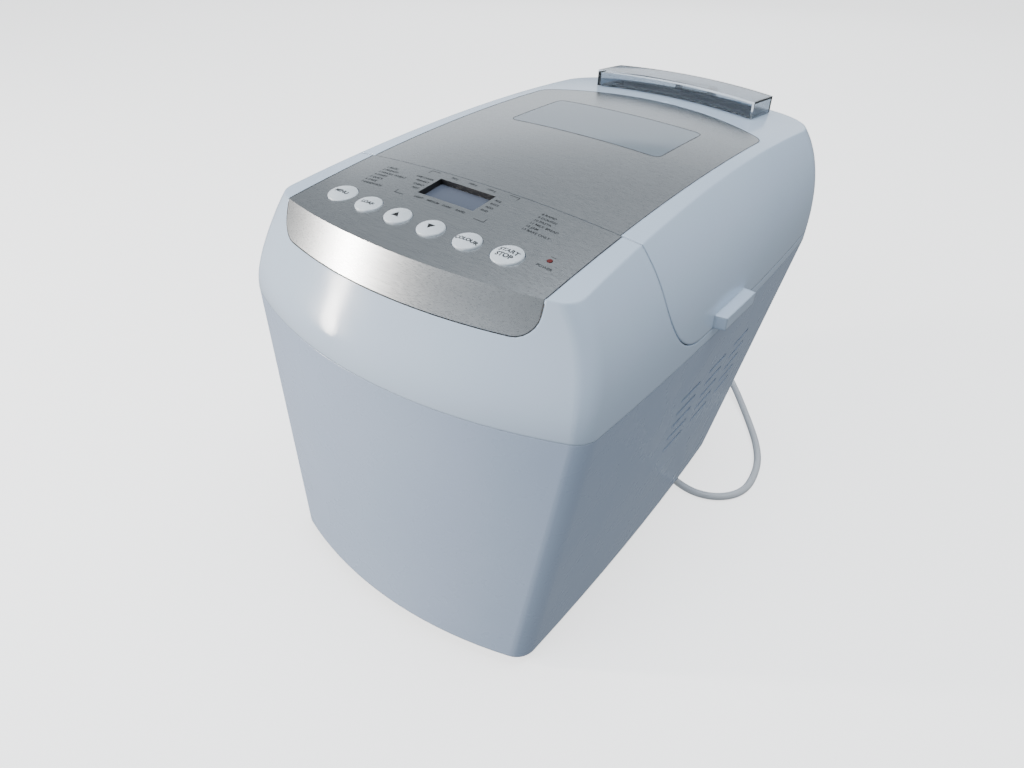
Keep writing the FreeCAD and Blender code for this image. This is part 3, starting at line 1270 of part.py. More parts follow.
def knuckles(start, low, high, bore):
    # One knuckle on each side, with the web that joins it to the wall.
    made = []
    for left in (start, -start - knuckle_width):
        barrel = rod(knuckle, hinge_axis + RIGHT * left, RIGHT, knuckle_width)
        web = block(left, left + knuckle_width, hinge_y - 3 * knuckle, hinge_y, low, high)
        hole = rod(bore, hinge_axis + RIGHT * left, RIGHT, knuckle_width)
        made.append(barrel.fuse(web).cut(fat_core).cut(hole))
    return made


hood_knuckles = knuckles(inner_knuckle, lid_z - knuckle, lid_z, pin_bore)
plate_recess = control_region(size("plate_gap")).cut(skin)
hood_part = hood_front.fuse([deck_sheet] + board_bosses + hood_knuckles)
solid("upper_housing", hood_part.cut([mouth, plate_recess] + panel_holes))

pins = []
for left in (inner_knuckle, -outer_knuckle - knuckle_width):
    pins.append(rod(size("hinge_pin_radius"), hinge_axis + RIGHT * left, RIGHT,
                    outer_knuckle + knuckle_width - inner_knuckle))
solid("hinge_pins", Part.makeCompound(pins))

# Lid: plan views of what lies in its top, each as an upright bar.
seam = size("seam_gap")
lid_front = split_y + seam


def lid_plate_region(gap):
    half = size("lid_plate_half") + gap
    radius = size("lid_plate_rear_radius") + gap
    corner = size("lid_plate_corner") + gap
    rear = front_y + size("lid_plate_rear_setback") + gap
    centre = Vector(0, rear - radius, lid_z)
    turn = centre + Vector(half - corner, math.sqrt((radius - corner) ** 2 - (half - corner) ** 2), 0)
    touch = on_circle(centre, radius, turn)
    bow = on_circle(turn, corner, (touch + turn + RIGHT * corner) * 0.5)
    start = lid_front - gap
    points = [Vector(-half, start, lid_z), Vector(half, start, lid_z), turn + RIGHT * corner, touch,
              flip(touch), flip(turn + RIGHT * corner)]
    arcs = {2: bow, 3: Vector(0, rear, lid_z), 4: flip(bow)}
    return prism(points, arcs, UP * (above - lid_z))


def window_region(grow, low, high):
    near = front_y + size("window_setback")
    return rounded_prism(size("window_half") + grow, near - grow, near + size("window_length") + grow,
                         max(size("window_corner") + grow, 1), low, high)


glass_gap = size("glass_gap")
ledge_width = size("glass_ledge")
window = window_region(0, lid_z, above)
window_bed = window_region(glass_gap, lid_z, above)
under_glass = hood(size("glass_gauge"))
solid("window_glass", outer.cut(under_glass).common(window))
solid("lid_plate", veneer.common(lid_plate_region(0)).cut(window_bed))

liner_half = size("lid_liner_half")
liner_front = front_y + size("lid_liner_setback")
liner_rear = liner_front + size("lid_liner_length")
liner_corner = size("lid_liner_corner")
flange_z = at(FLANGE_Z)
liner_top = at(LINER_TOP)
gauge = size("liner_gauge")


def liner_bar(grow, low, high):
    return rounded_prism(liner_half + grow, liner_front - grow, liner_rear + grow, liner_corner + grow, low, high)


chute_y = front_y + size("chute_setback")
chute_high = top_z(0, chute_y)
chute_low = liner_top - size("chute_drop")


def chute(grow, low, high):
    # The slanting passage from the smoked box down to the pan, as a solid bar.
    ends = []
    half = size("chute_half") + grow
    for z in (low, high):
        y = chute_y - size("chute_shift") * (chute_high - z) / (chute_high - chute_low)
        near, far = y - grow, y + size("chute_depth") + grow
        corners = [Vector(-half, near, z), Vector(half, near, z), Vector(half, far, z), Vector(-half, far, z)]
        ends.append(Part.makePolygon(corners + corners[:1]))
    return Part.makeLoft(ends, True, True)


tray_gauge = size("tray_gauge")
chute_top = chute_high + size("box_rise")
chute_clearance = chute(tray_gauge + glass_gap, chute_low, chute_top)
liner = liner_bar(gauge, flange_z, liner_top).fuse(liner_bar(size("lid_liner_flange"), flange_z, flange_z + gauge))
liner = liner.cut([liner_bar(0, flange_z, liner_top - gauge), chute_clearance,
                   window_region(-ledge_width, flange_z, above)])
solid("lid_liner", liner)
solid("inner_glass", window_region(ledge_width, liner_top, liner_top + size("inner_glass_gauge")))
gasket_in = 2 * gauge
gasket_out = gasket_in + size("gasket_width")
gasket_low = lid_z + size("seat_gap")
solid("lid_gasket", liner_bar(gasket_out, gasket_low, flange_z).cut(liner_bar(gasket_in, gasket_low, flange_z)))

# Ingredient dispenser at the rear of the lid.
box_near = front_y + size("box_setback")


def box_region(inset):
    # Plan of the smoked box. Its front and its rear are both bowed towards the rear.
    half = size("box_half") - inset
    front_radius = size("box_front_radius")
    rear_radius = size("box_rear_radius")
    whole = size("box_half")
    front_centre = box_near - math.sqrt(front_radius ** 2 - whole ** 2)
    rear_centre = box_near + size("box_depth") - math.sqrt(rear_radius ** 2 - whole ** 2)
    front_radius += inset
    rear_radius -= inset
    near = front_centre + math.sqrt(front_radius ** 2 - half ** 2)
    far = rear_centre + math.sqrt(rear_radius ** 2 - half ** 2)
    points = [Vector(-half, near, lid_z), Vector(half, near, lid_z), Vector(half, far, lid_z),
              Vector(-half, far, lid_z)]
    arcs = {0: Vector(0, front_centre + front_radius, lid_z), 2: Vector(0, rear_centre + rear_radius, lid_z)}
    return prism(points, arcs, UP * (above - lid_z + size("box_rise")))


box_wall = size("box_wall")
box_outer = box_region(0)
box_rear = box_outer.BoundBox.YMax
cover_barrel = size("cover_barrel")
cover_pin = size("cover_pin")
cover_half = size("cover_barrel_half")
cover_y = box_rear + cover_barrel + size("seat_gap")
cover_axis = Vector(0, cover_y, top_z(0, cover_y) + cover_barrel + 2 * size("seat_gap"))
ear_width = size("ear_width")

box = box_outer.common(crown(-size("box_rise")))
hollow = box_region(box_wall).common(crown(box_wall - size("box_rise")))
barrel = rod(cover_barrel, cover_axis - RIGHT * cover_half, RIGHT, 2 * cover_half)
web = block(-cover_half, cover_half, box_rear - box_wall, cover_y, cover_axis.z - cover_barrel,
            cover_axis.z + cover_barrel)
pin_half = cover_half + ear_width
cover_pins = rod(cover_pin, cover_axis - RIGHT * pin_half, RIGHT, 2 * pin_half)
cover = box.fuse([web, barrel]).cut([hollow, crown(-at("plate_gap"))])
solid("dispenser_cover", cover.fuse(cover_pins))

flap_barrel = size("flap_barrel")
flap_pin = size("flap_pin")
flap_top = chute_low - size("seat_gap")
flap_far = chute_y - size("chute_shift") + size("chute_depth") + tray_gauge
flap_axis = Vector(0, flap_far + flap_barrel + size("seat_gap"), flap_top - flap_barrel)
flap_half = size("chute_half") - size("seat_gap")
flap_ears = []
flap_bore = rod(at("flap_pin + running_gap"), flap_axis - RIGHT * 2 * flap_half, RIGHT, 4 * flap_half)
for start in (flap_half + 2 * size("seat_gap"), -flap_half - 2 * size("seat_gap") - ear_width):
    flap_ears.append(block(start, start + ear_width, flap_axis.y - 2 * flap_barrel, flap_axis.y + 2 * flap_barrel,
                           flap_axis.z - 2 * flap_barrel, chute_low + 3 * flap_barrel))
tray = box_region(box_wall + size("tray_gap")).common(crown(-tray_gauge)).cut(crown())
funnel = chute(tray_gauge, chute_low, chute_top).common(crown(-tray_gauge / 2))
tray = tray.fuse([funnel] + flap_ears).cut([chute(0, chute_low - tray_gauge, chute_top), flap_bore])
solid("dispenser_tray", tray)

flap_plate = block(-flap_half, flap_half, flap_far - size("chute_depth") - 2 * tray_gauge, flap_axis.y,
                   flap_top - size("flap_gauge"), flap_top)
flap_roll = rod(flap_barrel, flap_axis - RIGHT * flap_half, RIGHT, 2 * flap_half)
flap_reach = flap_half + ear_width
flap_pins = rod(flap_pin, flap_axis - RIGHT * flap_reach, RIGHT, 2 * flap_reach)
solid("dispenser_flap", flap_plate.fuse([flap_roll, flap_pins]))

# The lid's shell with its front wall, lift tabs, bosses, knuckles and the ears of the smoked box.
front_slab = block(-reach, reach, lid_front, lid_front + wall, lid_z + seam, above)
narrow_wall = hood(wall + seam).common(front_slab)
wide_slab = block(-reach, reach, lid_front, lid_front + wall, lid_z + size("lid_corner") + seam, above)
wide_wall = fat_core.common(wide_slab)
tabs = []
tab_near = front_y + size("tab_setback")
tab_far = tab_near + size("tab_length")
for side in (-1, 1):
    root = side * liner_half
    tip = side * size("tab_reach")
    points = [Vector(root, tab_near, lid_z + seam), Vector(tip, tab_near + size("tab_slant"), lid_z + seam),
              Vector(tip, tab_far - size("tab_rear_slant"), lid_z + seam), Vector(root, tab_far, lid_z + seam)]
    tabs.append(prism(points, {}, UP * size("tab_height")).cut(fat_core))
lid_bosses = []
boss_x = liner_half + at("liner_gauge + lid_boss_radius + seam_gap")
for setback in ("first_boss_setback", "second_boss_setback", "third_boss_setback"):
    for spot in pairs(boss_x, size(setback)):
        boss = rod(size("lid_boss_radius"), spot + UP * (flange_z + gauge), UP, above - flange_z)
        lid_bosses.append(boss.common(fat_core))
cover_ears = []
ear_bore = rod(at("cover_pin + running_gap"), cover_axis - RIGHT * 2 * pin_half, RIGHT, 4 * pin_half)
for start in (cover_half + size("seat_gap"), -cover_half - size("seat_gap") - ear_width):
    ear = block(start, start + ear_width, cover_y - cover_barrel, cover_y + cover_barrel,
                cover_axis.z - 3 * cover_barrel, cover_axis.z)
    cover_ears.append(ear.fuse(rod(cover_barrel, cover_axis + RIGHT * start, RIGHT, ear_width)).cut(fat_core))
lid_knuckles = knuckles(outer_knuckle, lid_z + seam, lid_z + knuckle, lid_bore)
lid = shell.common(lid_corner_zone(seam))
lid = lid.fuse([narrow_wall, wide_wall] + tabs + lid_bosses + cover_ears + lid_knuckles)
lid_recess = lid_plate_region(size("plate_gap")).cut(skin)
lid = lid.cut([lid_recess, window_bed.cut(under_glass), window_region(-ledge_width, lid_z, above), chute_clearance,
               ear_bore])
solid("lid_shell", lid)

# Mains cord: gland, the run that lies on the floor, a coil with its tie, and the plug.
cord = size("cord_radius")
seat = size("seat_gap")
collar = size("gland_collar")
collar_gauge = size("gland_collar_gauge")
collar_out = rear_of(lower_outer, gland_x, gland_z + collar) + seat
collar_in = rear_of(lower(wall), gland_x + collar, gland_z - collar) - seat - collar_gauge
gland_start = Vector(gland_x, collar_in, gland_z)
taper_start = Vector(gland_x, collar_out + collar_gauge, gland_z)
gland_tip = taper_start + BACK * size("gland_taper")
gland = rod(size("gland_radius"), gland_start, BACK, taper_start.y - collar_in)
gland = gland.fuse([rod(collar, gland_start, BACK, collar_gauge),
                    rod(collar, Vector(gland_x, collar_out, gland_z), BACK, collar_gauge),
                    Part.makeCone(size("gland_radius"), size("gland_tip"), size("gland_taper"), taper_start, BACK)])
solid("cord_gland", gland)

coil_z = at("cord_radius + tie_gauge + seat_gap")
# The run on the floor, from the gland round the right side of the machine and under it to the coil.
CORD_ROUTE = [
    (18, 183, 35),
    (24.5, 201, 32.5),
    (39, 212.5, 26.5),
    (58, 214.5, 19),
    (76, 207.5, 11.5),
    (91.5, 194.5, 6),
    (106, 178, 3.4),
    (121, 158.5, 3.1),
    (136, 137, 3.1),
    (147, 115, 3.1),
    (152, 92, 3.1),
    (152, 73, 3.1),
    (144.2, 57.5, 3.1),
    (130.4, 47.2, 3.1),
    (113.4, 44.1, 3.1),
    (91, 50.7, 3.1),
    (67.3, 61.5, 3.1),
    (45.5, 76.4, 3.1),
    (26.2, 93.8, 3.1),
    (8.8, 113.1, 3.1),
    (-6.5, 134.1, 3.1),
    (-18.7, 157.1, 3.1),
    (-28.4, 181.2, coil_z),
    (-36.4, 205.9, coil_z),
]


def cord_radii(points):
    # Each bend takes up to nine tenths of the shorter of its two runs.
    radii = []
    for before, corner, after in zip(points, points[1:], points[2:]):
        back = corner - before
        ahead = after - corner
        radii.append(0.45 * min(back.Length, ahead.Length) / math.tan(back.getAngle(ahead) / 2))
    return radii


route = [gland_tip] + [Vector(*point) for point in CORD_ROUTE]
route_radii = cord_radii(route)
route_edges = rounded_path(route, route_radii)
solid("power_cord", pipe(route_edges, cord))
print("cord bends", [round(radius) for radius in route_radii])

pitch = size("coil_pitch")
layer_turns = int(size("coil_half_turns"))
lower_radii = [size("coil_radius") - step * pitch / 2 for step in range(layer_turns)]
climb_radius = lower_radii[-1] - pitch / 2
upper_radii = [climb_radius + step * pitch / 2 for step in range(1, layer_turns + 2)]
heading = Vector(route[-1] - route[-2]).normalize()
ahead = Vector(heading)
place_now = route[-1]
coil_edges = []
coil_middles = []
for step, radius in enumerate(lower_radii + [climb_radius] + upper_radii):
    # Each half turn bends to the left. The one between the layers leans, but its ends stay level.
    lift = pitch if step == layer_turns else 0
    end = place_now + UP.cross(ahead) * 2 * radius + UP * lift
    middle = (place_now + end) * 0.5 + ahead * ((end - place_now).Length / 2)
    coil_edges.append(Part.Arc(place_now, middle, end).toShape())
    coil_middles.append(middle)
    place_now = end
    ahead = -ahead

samples = []
for edge in coil_edges:
    samples += edge.discretize(Number=49)[:-1]
apart = 24
least = min((first - second).Length for index, first in enumerate(samples) for second in samples[index + apart:])
print("coil, least gap", round(least - 2 * cord, 2))

plug_z = size("plug_radius")
tail = [place_now]
turn = size("tail_turn")
steps = int(size("tail_runs"))
for step in range(steps):
    # The tail goes on round the coil and rises to the plug; its first and last runs are level.
    rise = min(step / (steps - 2), 1)
    z = place_now.z + (plug_z - place_now.z) * rise
    run = Rotation(UP, turn * step).multVec(ahead) * size("tail_run")
    tail.append(Vector(tail[-1].x + run.x, tail[-1].y + run.y, z))
tail_radii = cord_radii(tail)
solid("cord_coil", pipe(coil_edges + rounded_path(tail, tail_radii), cord))
print("tail bends, least radius", round(min(tail_radii), 1))

# The tie is a flat band round all turns on one side of the coil.
tie_gauge = size("tie_gauge")
band_half = size("tie_width") / 2
outward = -heading
tie_turn = Rotation(RIGHT, outward)
tie_frame = Placement(Vector(coil_middles[1].x, coil_middles[1].y, 0), tie_turn)
held = [tie_frame.inverse().multVec(point) for point in samples]
held = [point for point in held if abs(point.y) < band_half and point.x > -size("coil_radius")]
margin = cord + seat
low_x = min(point.x for point in held) - margin
high_x = max(point.x for point in held) + margin
low_z = min(point.z for point in held) - margin
high_z = max(point.z for point in held) + margin
band = block(low_x - tie_gauge, high_x + tie_gauge, -band_half, band_half, low_z - tie_gauge, high_z + tie_gauge)
band = band.cut(block(low_x, high_x, -band_half, band_half, low_z, high_z))
solid("cord_tie", band, tie_frame.Rotation, tie_frame.Base)

plug = new_body("power_plug")
RELIEF_END = "plug_relief"
GRIP_END = "(plug_relief + plug_grip)"
PLUG_END = "(plug_relief + plug_grip + plug_face)"
turned(plug, [("0", "0"), ("cord_radius + tie_gauge", "0"), ("plug_relief_radius", RELIEF_END),
              ("2 * plug_relief_radius", RELIEF_END), ("plug_radius", GRIP_END), ("plug_radius", PLUG_END),
              ("0", PLUG_END)])
plug_pins = [("plug_pin_spread", "0", "plug_pin_radius"), ("-plug_pin_spread", "0", "plug_pin_radius")]
pad(plug, ring(plug, "XY_Plane", plug_pins, GRIP_END), "plug_face + plug_pin_length")
plug.Placement = Placement(tail[-1], Rotation(UP, Vector(tail[-1] - tail[-2])))

lengths = [sum(edge.Length for edge in edges) for edges in (route_edges, coil_edges, rounded_path(tail, tail_radii))]
print("cord length", round(sum(lengths)), [round(length) for length in lengths])

doc.recompute()
os.makedirs("parts", exist_ok=True)
for made in doc.Objects:
    if {"Invalid", "Error"} & set(made.State):
        raise RuntimeError(f"{made.Name} did not build: {made.State}")
for made in nodes:
    if made.Shape.isNull() or not made.Shape.isValid():
        raise RuntimeError(f"{made.Label} has no valid shape")
    made.Shape.exportStep(f"parts/{made.Label}.step")
section_area = math.pi * cord ** 2
for made in nodes:
    if made.Label in ("power_cord", "cord_coil"):
        print(made.Label, "volume over section", round(made.Shape.Volume / section_area))
print(len(nodes), "nodes written")
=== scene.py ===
import bpy
import bmesh
import json
import math
from mathutils import Matrix, Vector
from mathutils.bvhtree import BVHTree


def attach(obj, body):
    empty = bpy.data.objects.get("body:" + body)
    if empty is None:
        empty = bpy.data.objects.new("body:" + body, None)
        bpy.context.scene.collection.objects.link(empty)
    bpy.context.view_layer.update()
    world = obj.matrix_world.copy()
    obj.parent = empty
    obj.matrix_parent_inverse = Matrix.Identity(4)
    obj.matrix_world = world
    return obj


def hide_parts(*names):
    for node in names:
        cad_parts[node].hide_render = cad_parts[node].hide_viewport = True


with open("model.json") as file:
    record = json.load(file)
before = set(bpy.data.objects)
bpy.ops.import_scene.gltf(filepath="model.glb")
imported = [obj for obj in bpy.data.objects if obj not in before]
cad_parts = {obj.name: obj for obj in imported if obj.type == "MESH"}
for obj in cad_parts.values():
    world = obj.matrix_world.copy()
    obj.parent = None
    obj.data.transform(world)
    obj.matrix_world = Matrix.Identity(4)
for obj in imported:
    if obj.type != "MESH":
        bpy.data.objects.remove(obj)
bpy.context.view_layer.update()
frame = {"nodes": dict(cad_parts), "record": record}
nodes = frame["nodes"]
scene = bpy.context.scene
mm = 0.001
print("frame loaded:", len(nodes), "nodes")

# Camera, where the photograph was taken from. Millimetres, degrees and pixels of a 1024 wide picture.
photoView = {
    "place": (271.23, -423.73, 452.26),
    "yaw": -36.2625,
    "pitch": 36.2572,
    "roll": 1.7847,
    "focal": 767.78,
    "pictureWidth": 1024,
    "sensorWidth": 36,
    "nearClip": 0.01,
}


def addCamera(view):
    yaw, pitch, roll = (math.radians(view[key]) for key in ("yaw", "pitch", "roll"))
    ahead = Vector((math.sin(yaw) * math.cos(pitch), math.cos(yaw) * math.cos(pitch), -math.sin(pitch)))
    level = Vector((math.cos(yaw), -math.sin(yaw), 0))
    upright = level.cross(ahead)
    right = level * math.cos(roll) + upright * math.sin(roll)
    up = upright * math.cos(roll) - level * math.sin(roll)
    data = bpy.data.cameras.new("photo_camera")
    data.sensor_width = view["sensorWidth"]
    data.lens = view["sensorWidth"] * view["focal"] / view["pictureWidth"]
    data.clip_start = view["nearClip"]
    camera = bpy.data.objects.new("photo_camera", data)
    turned = Matrix((right, up, -ahead)).transposed().to_4x4()
    camera.matrix_world = Matrix.Translation(Vector(view["place"]) * mm) @ turned
    scene.collection.objects.link(camera)
    scene.camera = camera


addCamera(photoView)
print("camera set")

# Finishes. Every pattern sits on object coordinates, in metres.
patternSpan = (0.3, 0.7)


def newFinish(name, colour, rough, metal=0.0, **sockets):
    made = bpy.data.materials.new(name)
    made.use_nodes = True
    shader = made.node_tree.nodes["Principled BSDF"]
    shader.inputs["Base Color"].default_value = (*colour, 1)
    shader.inputs["Roughness"].default_value = rough
    shader.inputs["Metallic"].default_value = metal
    for socket, value in sockets.items():
        shader.inputs[socket.replace("_", " ")].default_value = value
    return made


def pattern(made, kind, stretch, **settings):
    # A texture in object coordinates; stretch is its frequency along each axis.
    tree = made.node_tree
    place = tree.nodes.get("Texture Coordinate") or tree.nodes.new("ShaderNodeTexCoord")
    scaled = tree.nodes.new("ShaderNodeMapping")
    scaled.inputs["Scale"].default_value = stretch
    tree.links.new(place.outputs["Object"], scaled.inputs["Vector"])
    texture = tree.nodes.new(kind)
    texture.inputs["Scale"].default_value = 1.0
    for key, value in settings.items():
        if key in texture.inputs:
            texture.inputs[key].default_value = value
        else:
            setattr(texture, key, value)
    tree.links.new(scaled.outputs["Vector"], texture.inputs["Vector"])
    return texture


def cloudy(made, fineness, detail):
    return pattern(made, "ShaderNodeTexNoise", (fineness,) * 3, Detail=detail)


def shade(made, texture, low, high, span=patternSpan, output=0):
    # Colour that runs between two tones with the texture.
    tree = made.node_tree
    ramp = tree.nodes.new("ShaderNodeValToRGB")
    for held, position, colour in zip(ramp.color_ramp.elements, span, (low, high)):
        held.position = position
        held.color = (*colour, 1)
    tree.links.new(texture.outputs[output], ramp.inputs["Fac"])
    tree.links.new(ramp.outputs["Color"], tree.nodes["Principled BSDF"].inputs["Base Color"])


def gloss(made, texture, low, high, output=0):
    # Roughness that runs between two values with the texture.
    tree = made.node_tree
    spread = tree.nodes.new("ShaderNodeMapRange")
    spread.inputs["From Min"].default_value, spread.inputs["From Max"].default_value = patternSpan
    spread.inputs["To Min"].default_value = low
    spread.inputs["To Max"].default_value = high
    tree.links.new(texture.outputs[output], spread.inputs["Value"])
    tree.links.new(spread.outputs["Result"], tree.nodes["Principled BSDF"].inputs["Roughness"])


def relief(made, texture, depth):
    # Fine height from the texture, in metres.
    tree = made.node_tree
    bump = tree.nodes.new("ShaderNodeBump")
    bump.inputs["Strength"].default_value = 1.0
    bump.inputs["Distance"].default_value = depth
    shader = tree.nodes["Principled BSDF"]
    tree.links.new(texture.outputs[0], bump.inputs["Height"])
    if shader.inputs["Normal"].links:
        tree.links.new(shader.inputs["Normal"].links[0].from_socket, bump.inputs["Normal"])
    tree.links.new(bump.outputs["Normal"], shader.inputs["Normal"])


def softEdge(made, radius):
    # Rounds the edges in the light by a small radius, in metres.
    tree = made.node_tree
    rounding = tree.nodes.new("ShaderNodeBevel")
    rounding.samples = 6
    rounding.inputs["Radius"].default_value = radius
    tree.links.new(rounding.outputs["Normal"], tree.nodes["Principled BSDF"].inputs["Normal"])


def mouldedPlastic(name, low, high, rough, grain, depth, edge=0.0):
    # A faint unevenness of tone and a fine skin.
    made = newFinish(name, high, rough[0])
    if edge:
        softEdge(made, edge)
    shade(made, cloudy(made, fineness=9, detail=3.0), low, high)
    gloss(made, cloudy(made, fineness=40, detail=4.0), *rough)
    relief(made, cloudy(made, grain, detail=2.0), depth)
    return made


def brushedMetal(name, low, high, rough, along, depth):
    # Drawn or brushed metal: streaks that are long along one axis.
    made = newFinish(name, high, rough[0], 1.0)
    streaks = pattern(made, "ShaderNodeTexNoise", along, Detail=4.0, Roughness=0.65)
    shade(made, streaks, low, high)
    gloss(made, streaks, *rough)
    relief(made, streaks, depth)
    return made


def castMetal(name, low, high, rough, grain, depth):
    made = newFinish(name, high, rough[0], 1.0)
    skin = cloudy(made, grain, detail=5.0)
    shade(made, skin, low, high)
    gloss(made, skin, *rough)
    relief(made, skin, depth)
    return made


def spangledZinc(name, low, high, plainRough, rough, flake):
    made = newFinish(name, high, plainRough, 1.0)
    flakes = pattern(made, "ShaderNodeTexVoronoi", (flake,) * 3)
    shade(made, flakes, low, high, span=(0.1, 0.9), output="Color")
    gloss(made, flakes, *rough, output="Distance")
    return made


def speckledCoating(name, plain, dark, pale, rough, speck, grain, depth):
    # Dark baked coating with pale specks.
    made = newFinish(name, plain, rough)
    specks = pattern(made, "ShaderNodeTexVoronoi", (speck,) * 3)
    shade(made, specks, pale, dark, span=(0.10, 0.16), output="Distance")
    relief(made, cloudy(made, grain, detail=3.0), depth)
    return made


def circuitBoard(name, plain, rough, tracks, brickColours):
    made = newFinish(name, plain, rough)
    lines = pattern(made, "ShaderNodeTexBrick", (tracks,) * 3, offset=0.37)
    for socket, colour in brickColours.items():
        lines.inputs[socket].default_value = (*colour, 1)
    lines.inputs["Mortar Size"].default_value = 0.03
    shader = made.node_tree.nodes["Principled BSDF"]
    made.node_tree.links.new(lines.outputs["Color"], shader.inputs["Base Color"])
    return made


def clearPlastic(name, colour, rough, see):
    made = newFinish(name, colour, rough, 0.0, Transmission_Weight=see, IOR=1.49)
    gloss(made, cloudy(made, fineness=25, detail=4.0), rough, rough + 0.05)
    return made


plastics = {
    "white_gloss": {"low": (0.62, 0.745, 0.91), "high": (0.655, 0.78, 0.94), "rough": (0.14, 0.20),
                    "grain": 500, "depth": 2e-6, "edge": 0.0022},
    # white_satin is the same white plastic as white_gloss; its darker tone is painted shade for the lower
    # housing, which is lit less from above.
    "white_satin": {"low": (0.47, 0.57, 0.74), "high": (0.505, 0.605, 0.775), "rough": (0.24, 0.32),
                    "grain": 900, "depth": 4e-6, "edge": 0.0015},
    "key_white": {"low": (0.74, 0.80, 0.85), "high": (0.78, 0.84, 0.89), "rough": (0.24, 0.30),
                  "grain": 900, "depth": 4e-6},
    "black_plastic": {"low": (0.012, 0.012, 0.013), "high": (0.02, 0.02, 0.022), "rough": (0.34, 0.46),
                      "grain": 1500, "depth": 2e-5},
    "grey_plastic": {"low": (0.16, 0.165, 0.17), "high": (0.20, 0.205, 0.21), "rough": (0.4, 0.5),
                     "grain": 1500, "depth": 2e-5},
    "rubber": {"low": (0.035, 0.036, 0.038), "high": (0.05, 0.05, 0.053), "rough": (0.6, 0.75),
               "grain": 900, "depth": 4e-5},
    "belt_rubber": {"low": (0.014, 0.014, 0.015), "high": (0.024, 0.024, 0.025), "rough": (0.55, 0.7),
                    "grain": 1200, "depth": 4e-5},
    "silicone": {"low": (0.50, 0.52, 0.54), "high": (0.58, 0.60, 0.62), "rough": (0.45, 0.55),
                 "grain": 1100, "depth": 2e-5},
    "cord_white": {"low": (0.74, 0.77, 0.80), "high": (0.80, 0.82, 0.85), "rough": (0.34, 0.44),
                   "grain": 1300, "depth": 1e-5},
}
drawnMetals = {
    "steel": {"low": (0.54, 0.565, 0.585), "high": (0.62, 0.64, 0.655), "rough": (0.25, 0.34),
              "along": (6, 3800, 3800), "depth": 2.5e-6},
    "shaft_steel": {"low": (0.50, 0.50, 0.51), "high": (0.66, 0.66, 0.66), "rough": (0.14, 0.24),
                    "along": (40, 40, 3000), "depth": 3e-6},
    "aluminium": {"low": (0.60, 0.61, 0.62), "high": (0.74, 0.745, 0.75), "rough": (0.26, 0.40),
                  "along": (1800, 1800, 12), "depth": 6e-6},
}
castMetals = {
    "motor_metal": {"low": (0.16, 0.165, 0.17), "high": (0.24, 0.245, 0.25), "rough": (0.3, 0.42),
                    "grain": 300, "depth": 2e-5},
    "screw_steel": {"low": (0.50, 0.48, 0.40), "high": (0.64, 0.62, 0.54), "rough": (0.22, 0.34),
                    "grain": 500, "depth": 1e-5},
    "cast_aluminium": {"low": (0.46, 0.47, 0.48), "high": (0.60, 0.61, 0.62), "rough": (0.40, 0.55),
                       "grain": 900, "depth": 5e-5},
    "element_metal": {"low": (0.10, 0.095, 0.095), "high": (0.22, 0.20, 0.19), "rough": (0.36, 0.5),
                      "grain": 120, "depth": 3e-5},
    "brass": {"low": (0.52, 0.36, 0.14), "high": (0.66, 0.47, 0.20), "rough": (0.26, 0.38),
              "grain": 900, "depth": 2e-5},
}
clears = {
    "smoked": {"colour": (0.40, 0.45, 0.51), "rough": 0.02, "see": 1.0},
    "pane": {"colour": (0.86, 0.90, 0.90), "rough": 0.02, "see": 1.0},
    "lens": {"colour": (0.13, 0.15, 0.20), "rough": 0.10, "see": 0.1},
    "lamp_red": {"colour": (0.20, 0.03, 0.03), "rough": 0.1, "see": 0.3},
}
zinc = {"low": (0.42, 0.43, 0.44), "high": (0.62, 0.63, 0.64), "plainRough": 0.35, "rough": (0.28, 0.46),
        "flake": 140}
coating = {"plain": (0.03, 0.03, 0.032), "dark": (0.028, 0.028, 0.03), "pale": (0.30, 0.30, 0.31),
           "rough": 0.36, "speck": 420, "grain": 900, "depth": 4e-5}
board = {"plain": (0.02, 0.12, 0.05), "rough": 0.32, "tracks": 60, "brickColours": {
    "Color1": (0.016, 0.10, 0.04), "Color2": (0.02, 0.13, 0.055), "Mortar": (0.05, 0.24, 0.10)}}
windowLook = {"colour": (0.34, 0.40, 0.46), "rough": 0.07, "see": 0.35}

finishes = {
    "sheet_metal": spangledZinc("sheet_metal", **zinc),
    "coated": speckledCoating("coated", **coating),
    "board": circuitBoard("board", **board),
}
for maker, looks in ((mouldedPlastic, plastics), (brushedMetal, drawnMetals), (castMetal, castMetals),
                     (clearPlastic, clears)):
    for name, look in looks.items():
        finishes[name] = maker(name, **look)
slotOf = {}
for entry in frame["record"]["subparts"]:
    slotOf[entry["node"]] = entry["material_slot"]
for name, piece in nodes.items():
    for held in piece.material_slots:
        held.material = finishes[slotOf[name]]
windowTint = clearPlastic("window_tint", **windowLook)
for held in nodes["window_glass"].material_slots:
    held.material = windowTint
print("finishes made:", len(finishes))

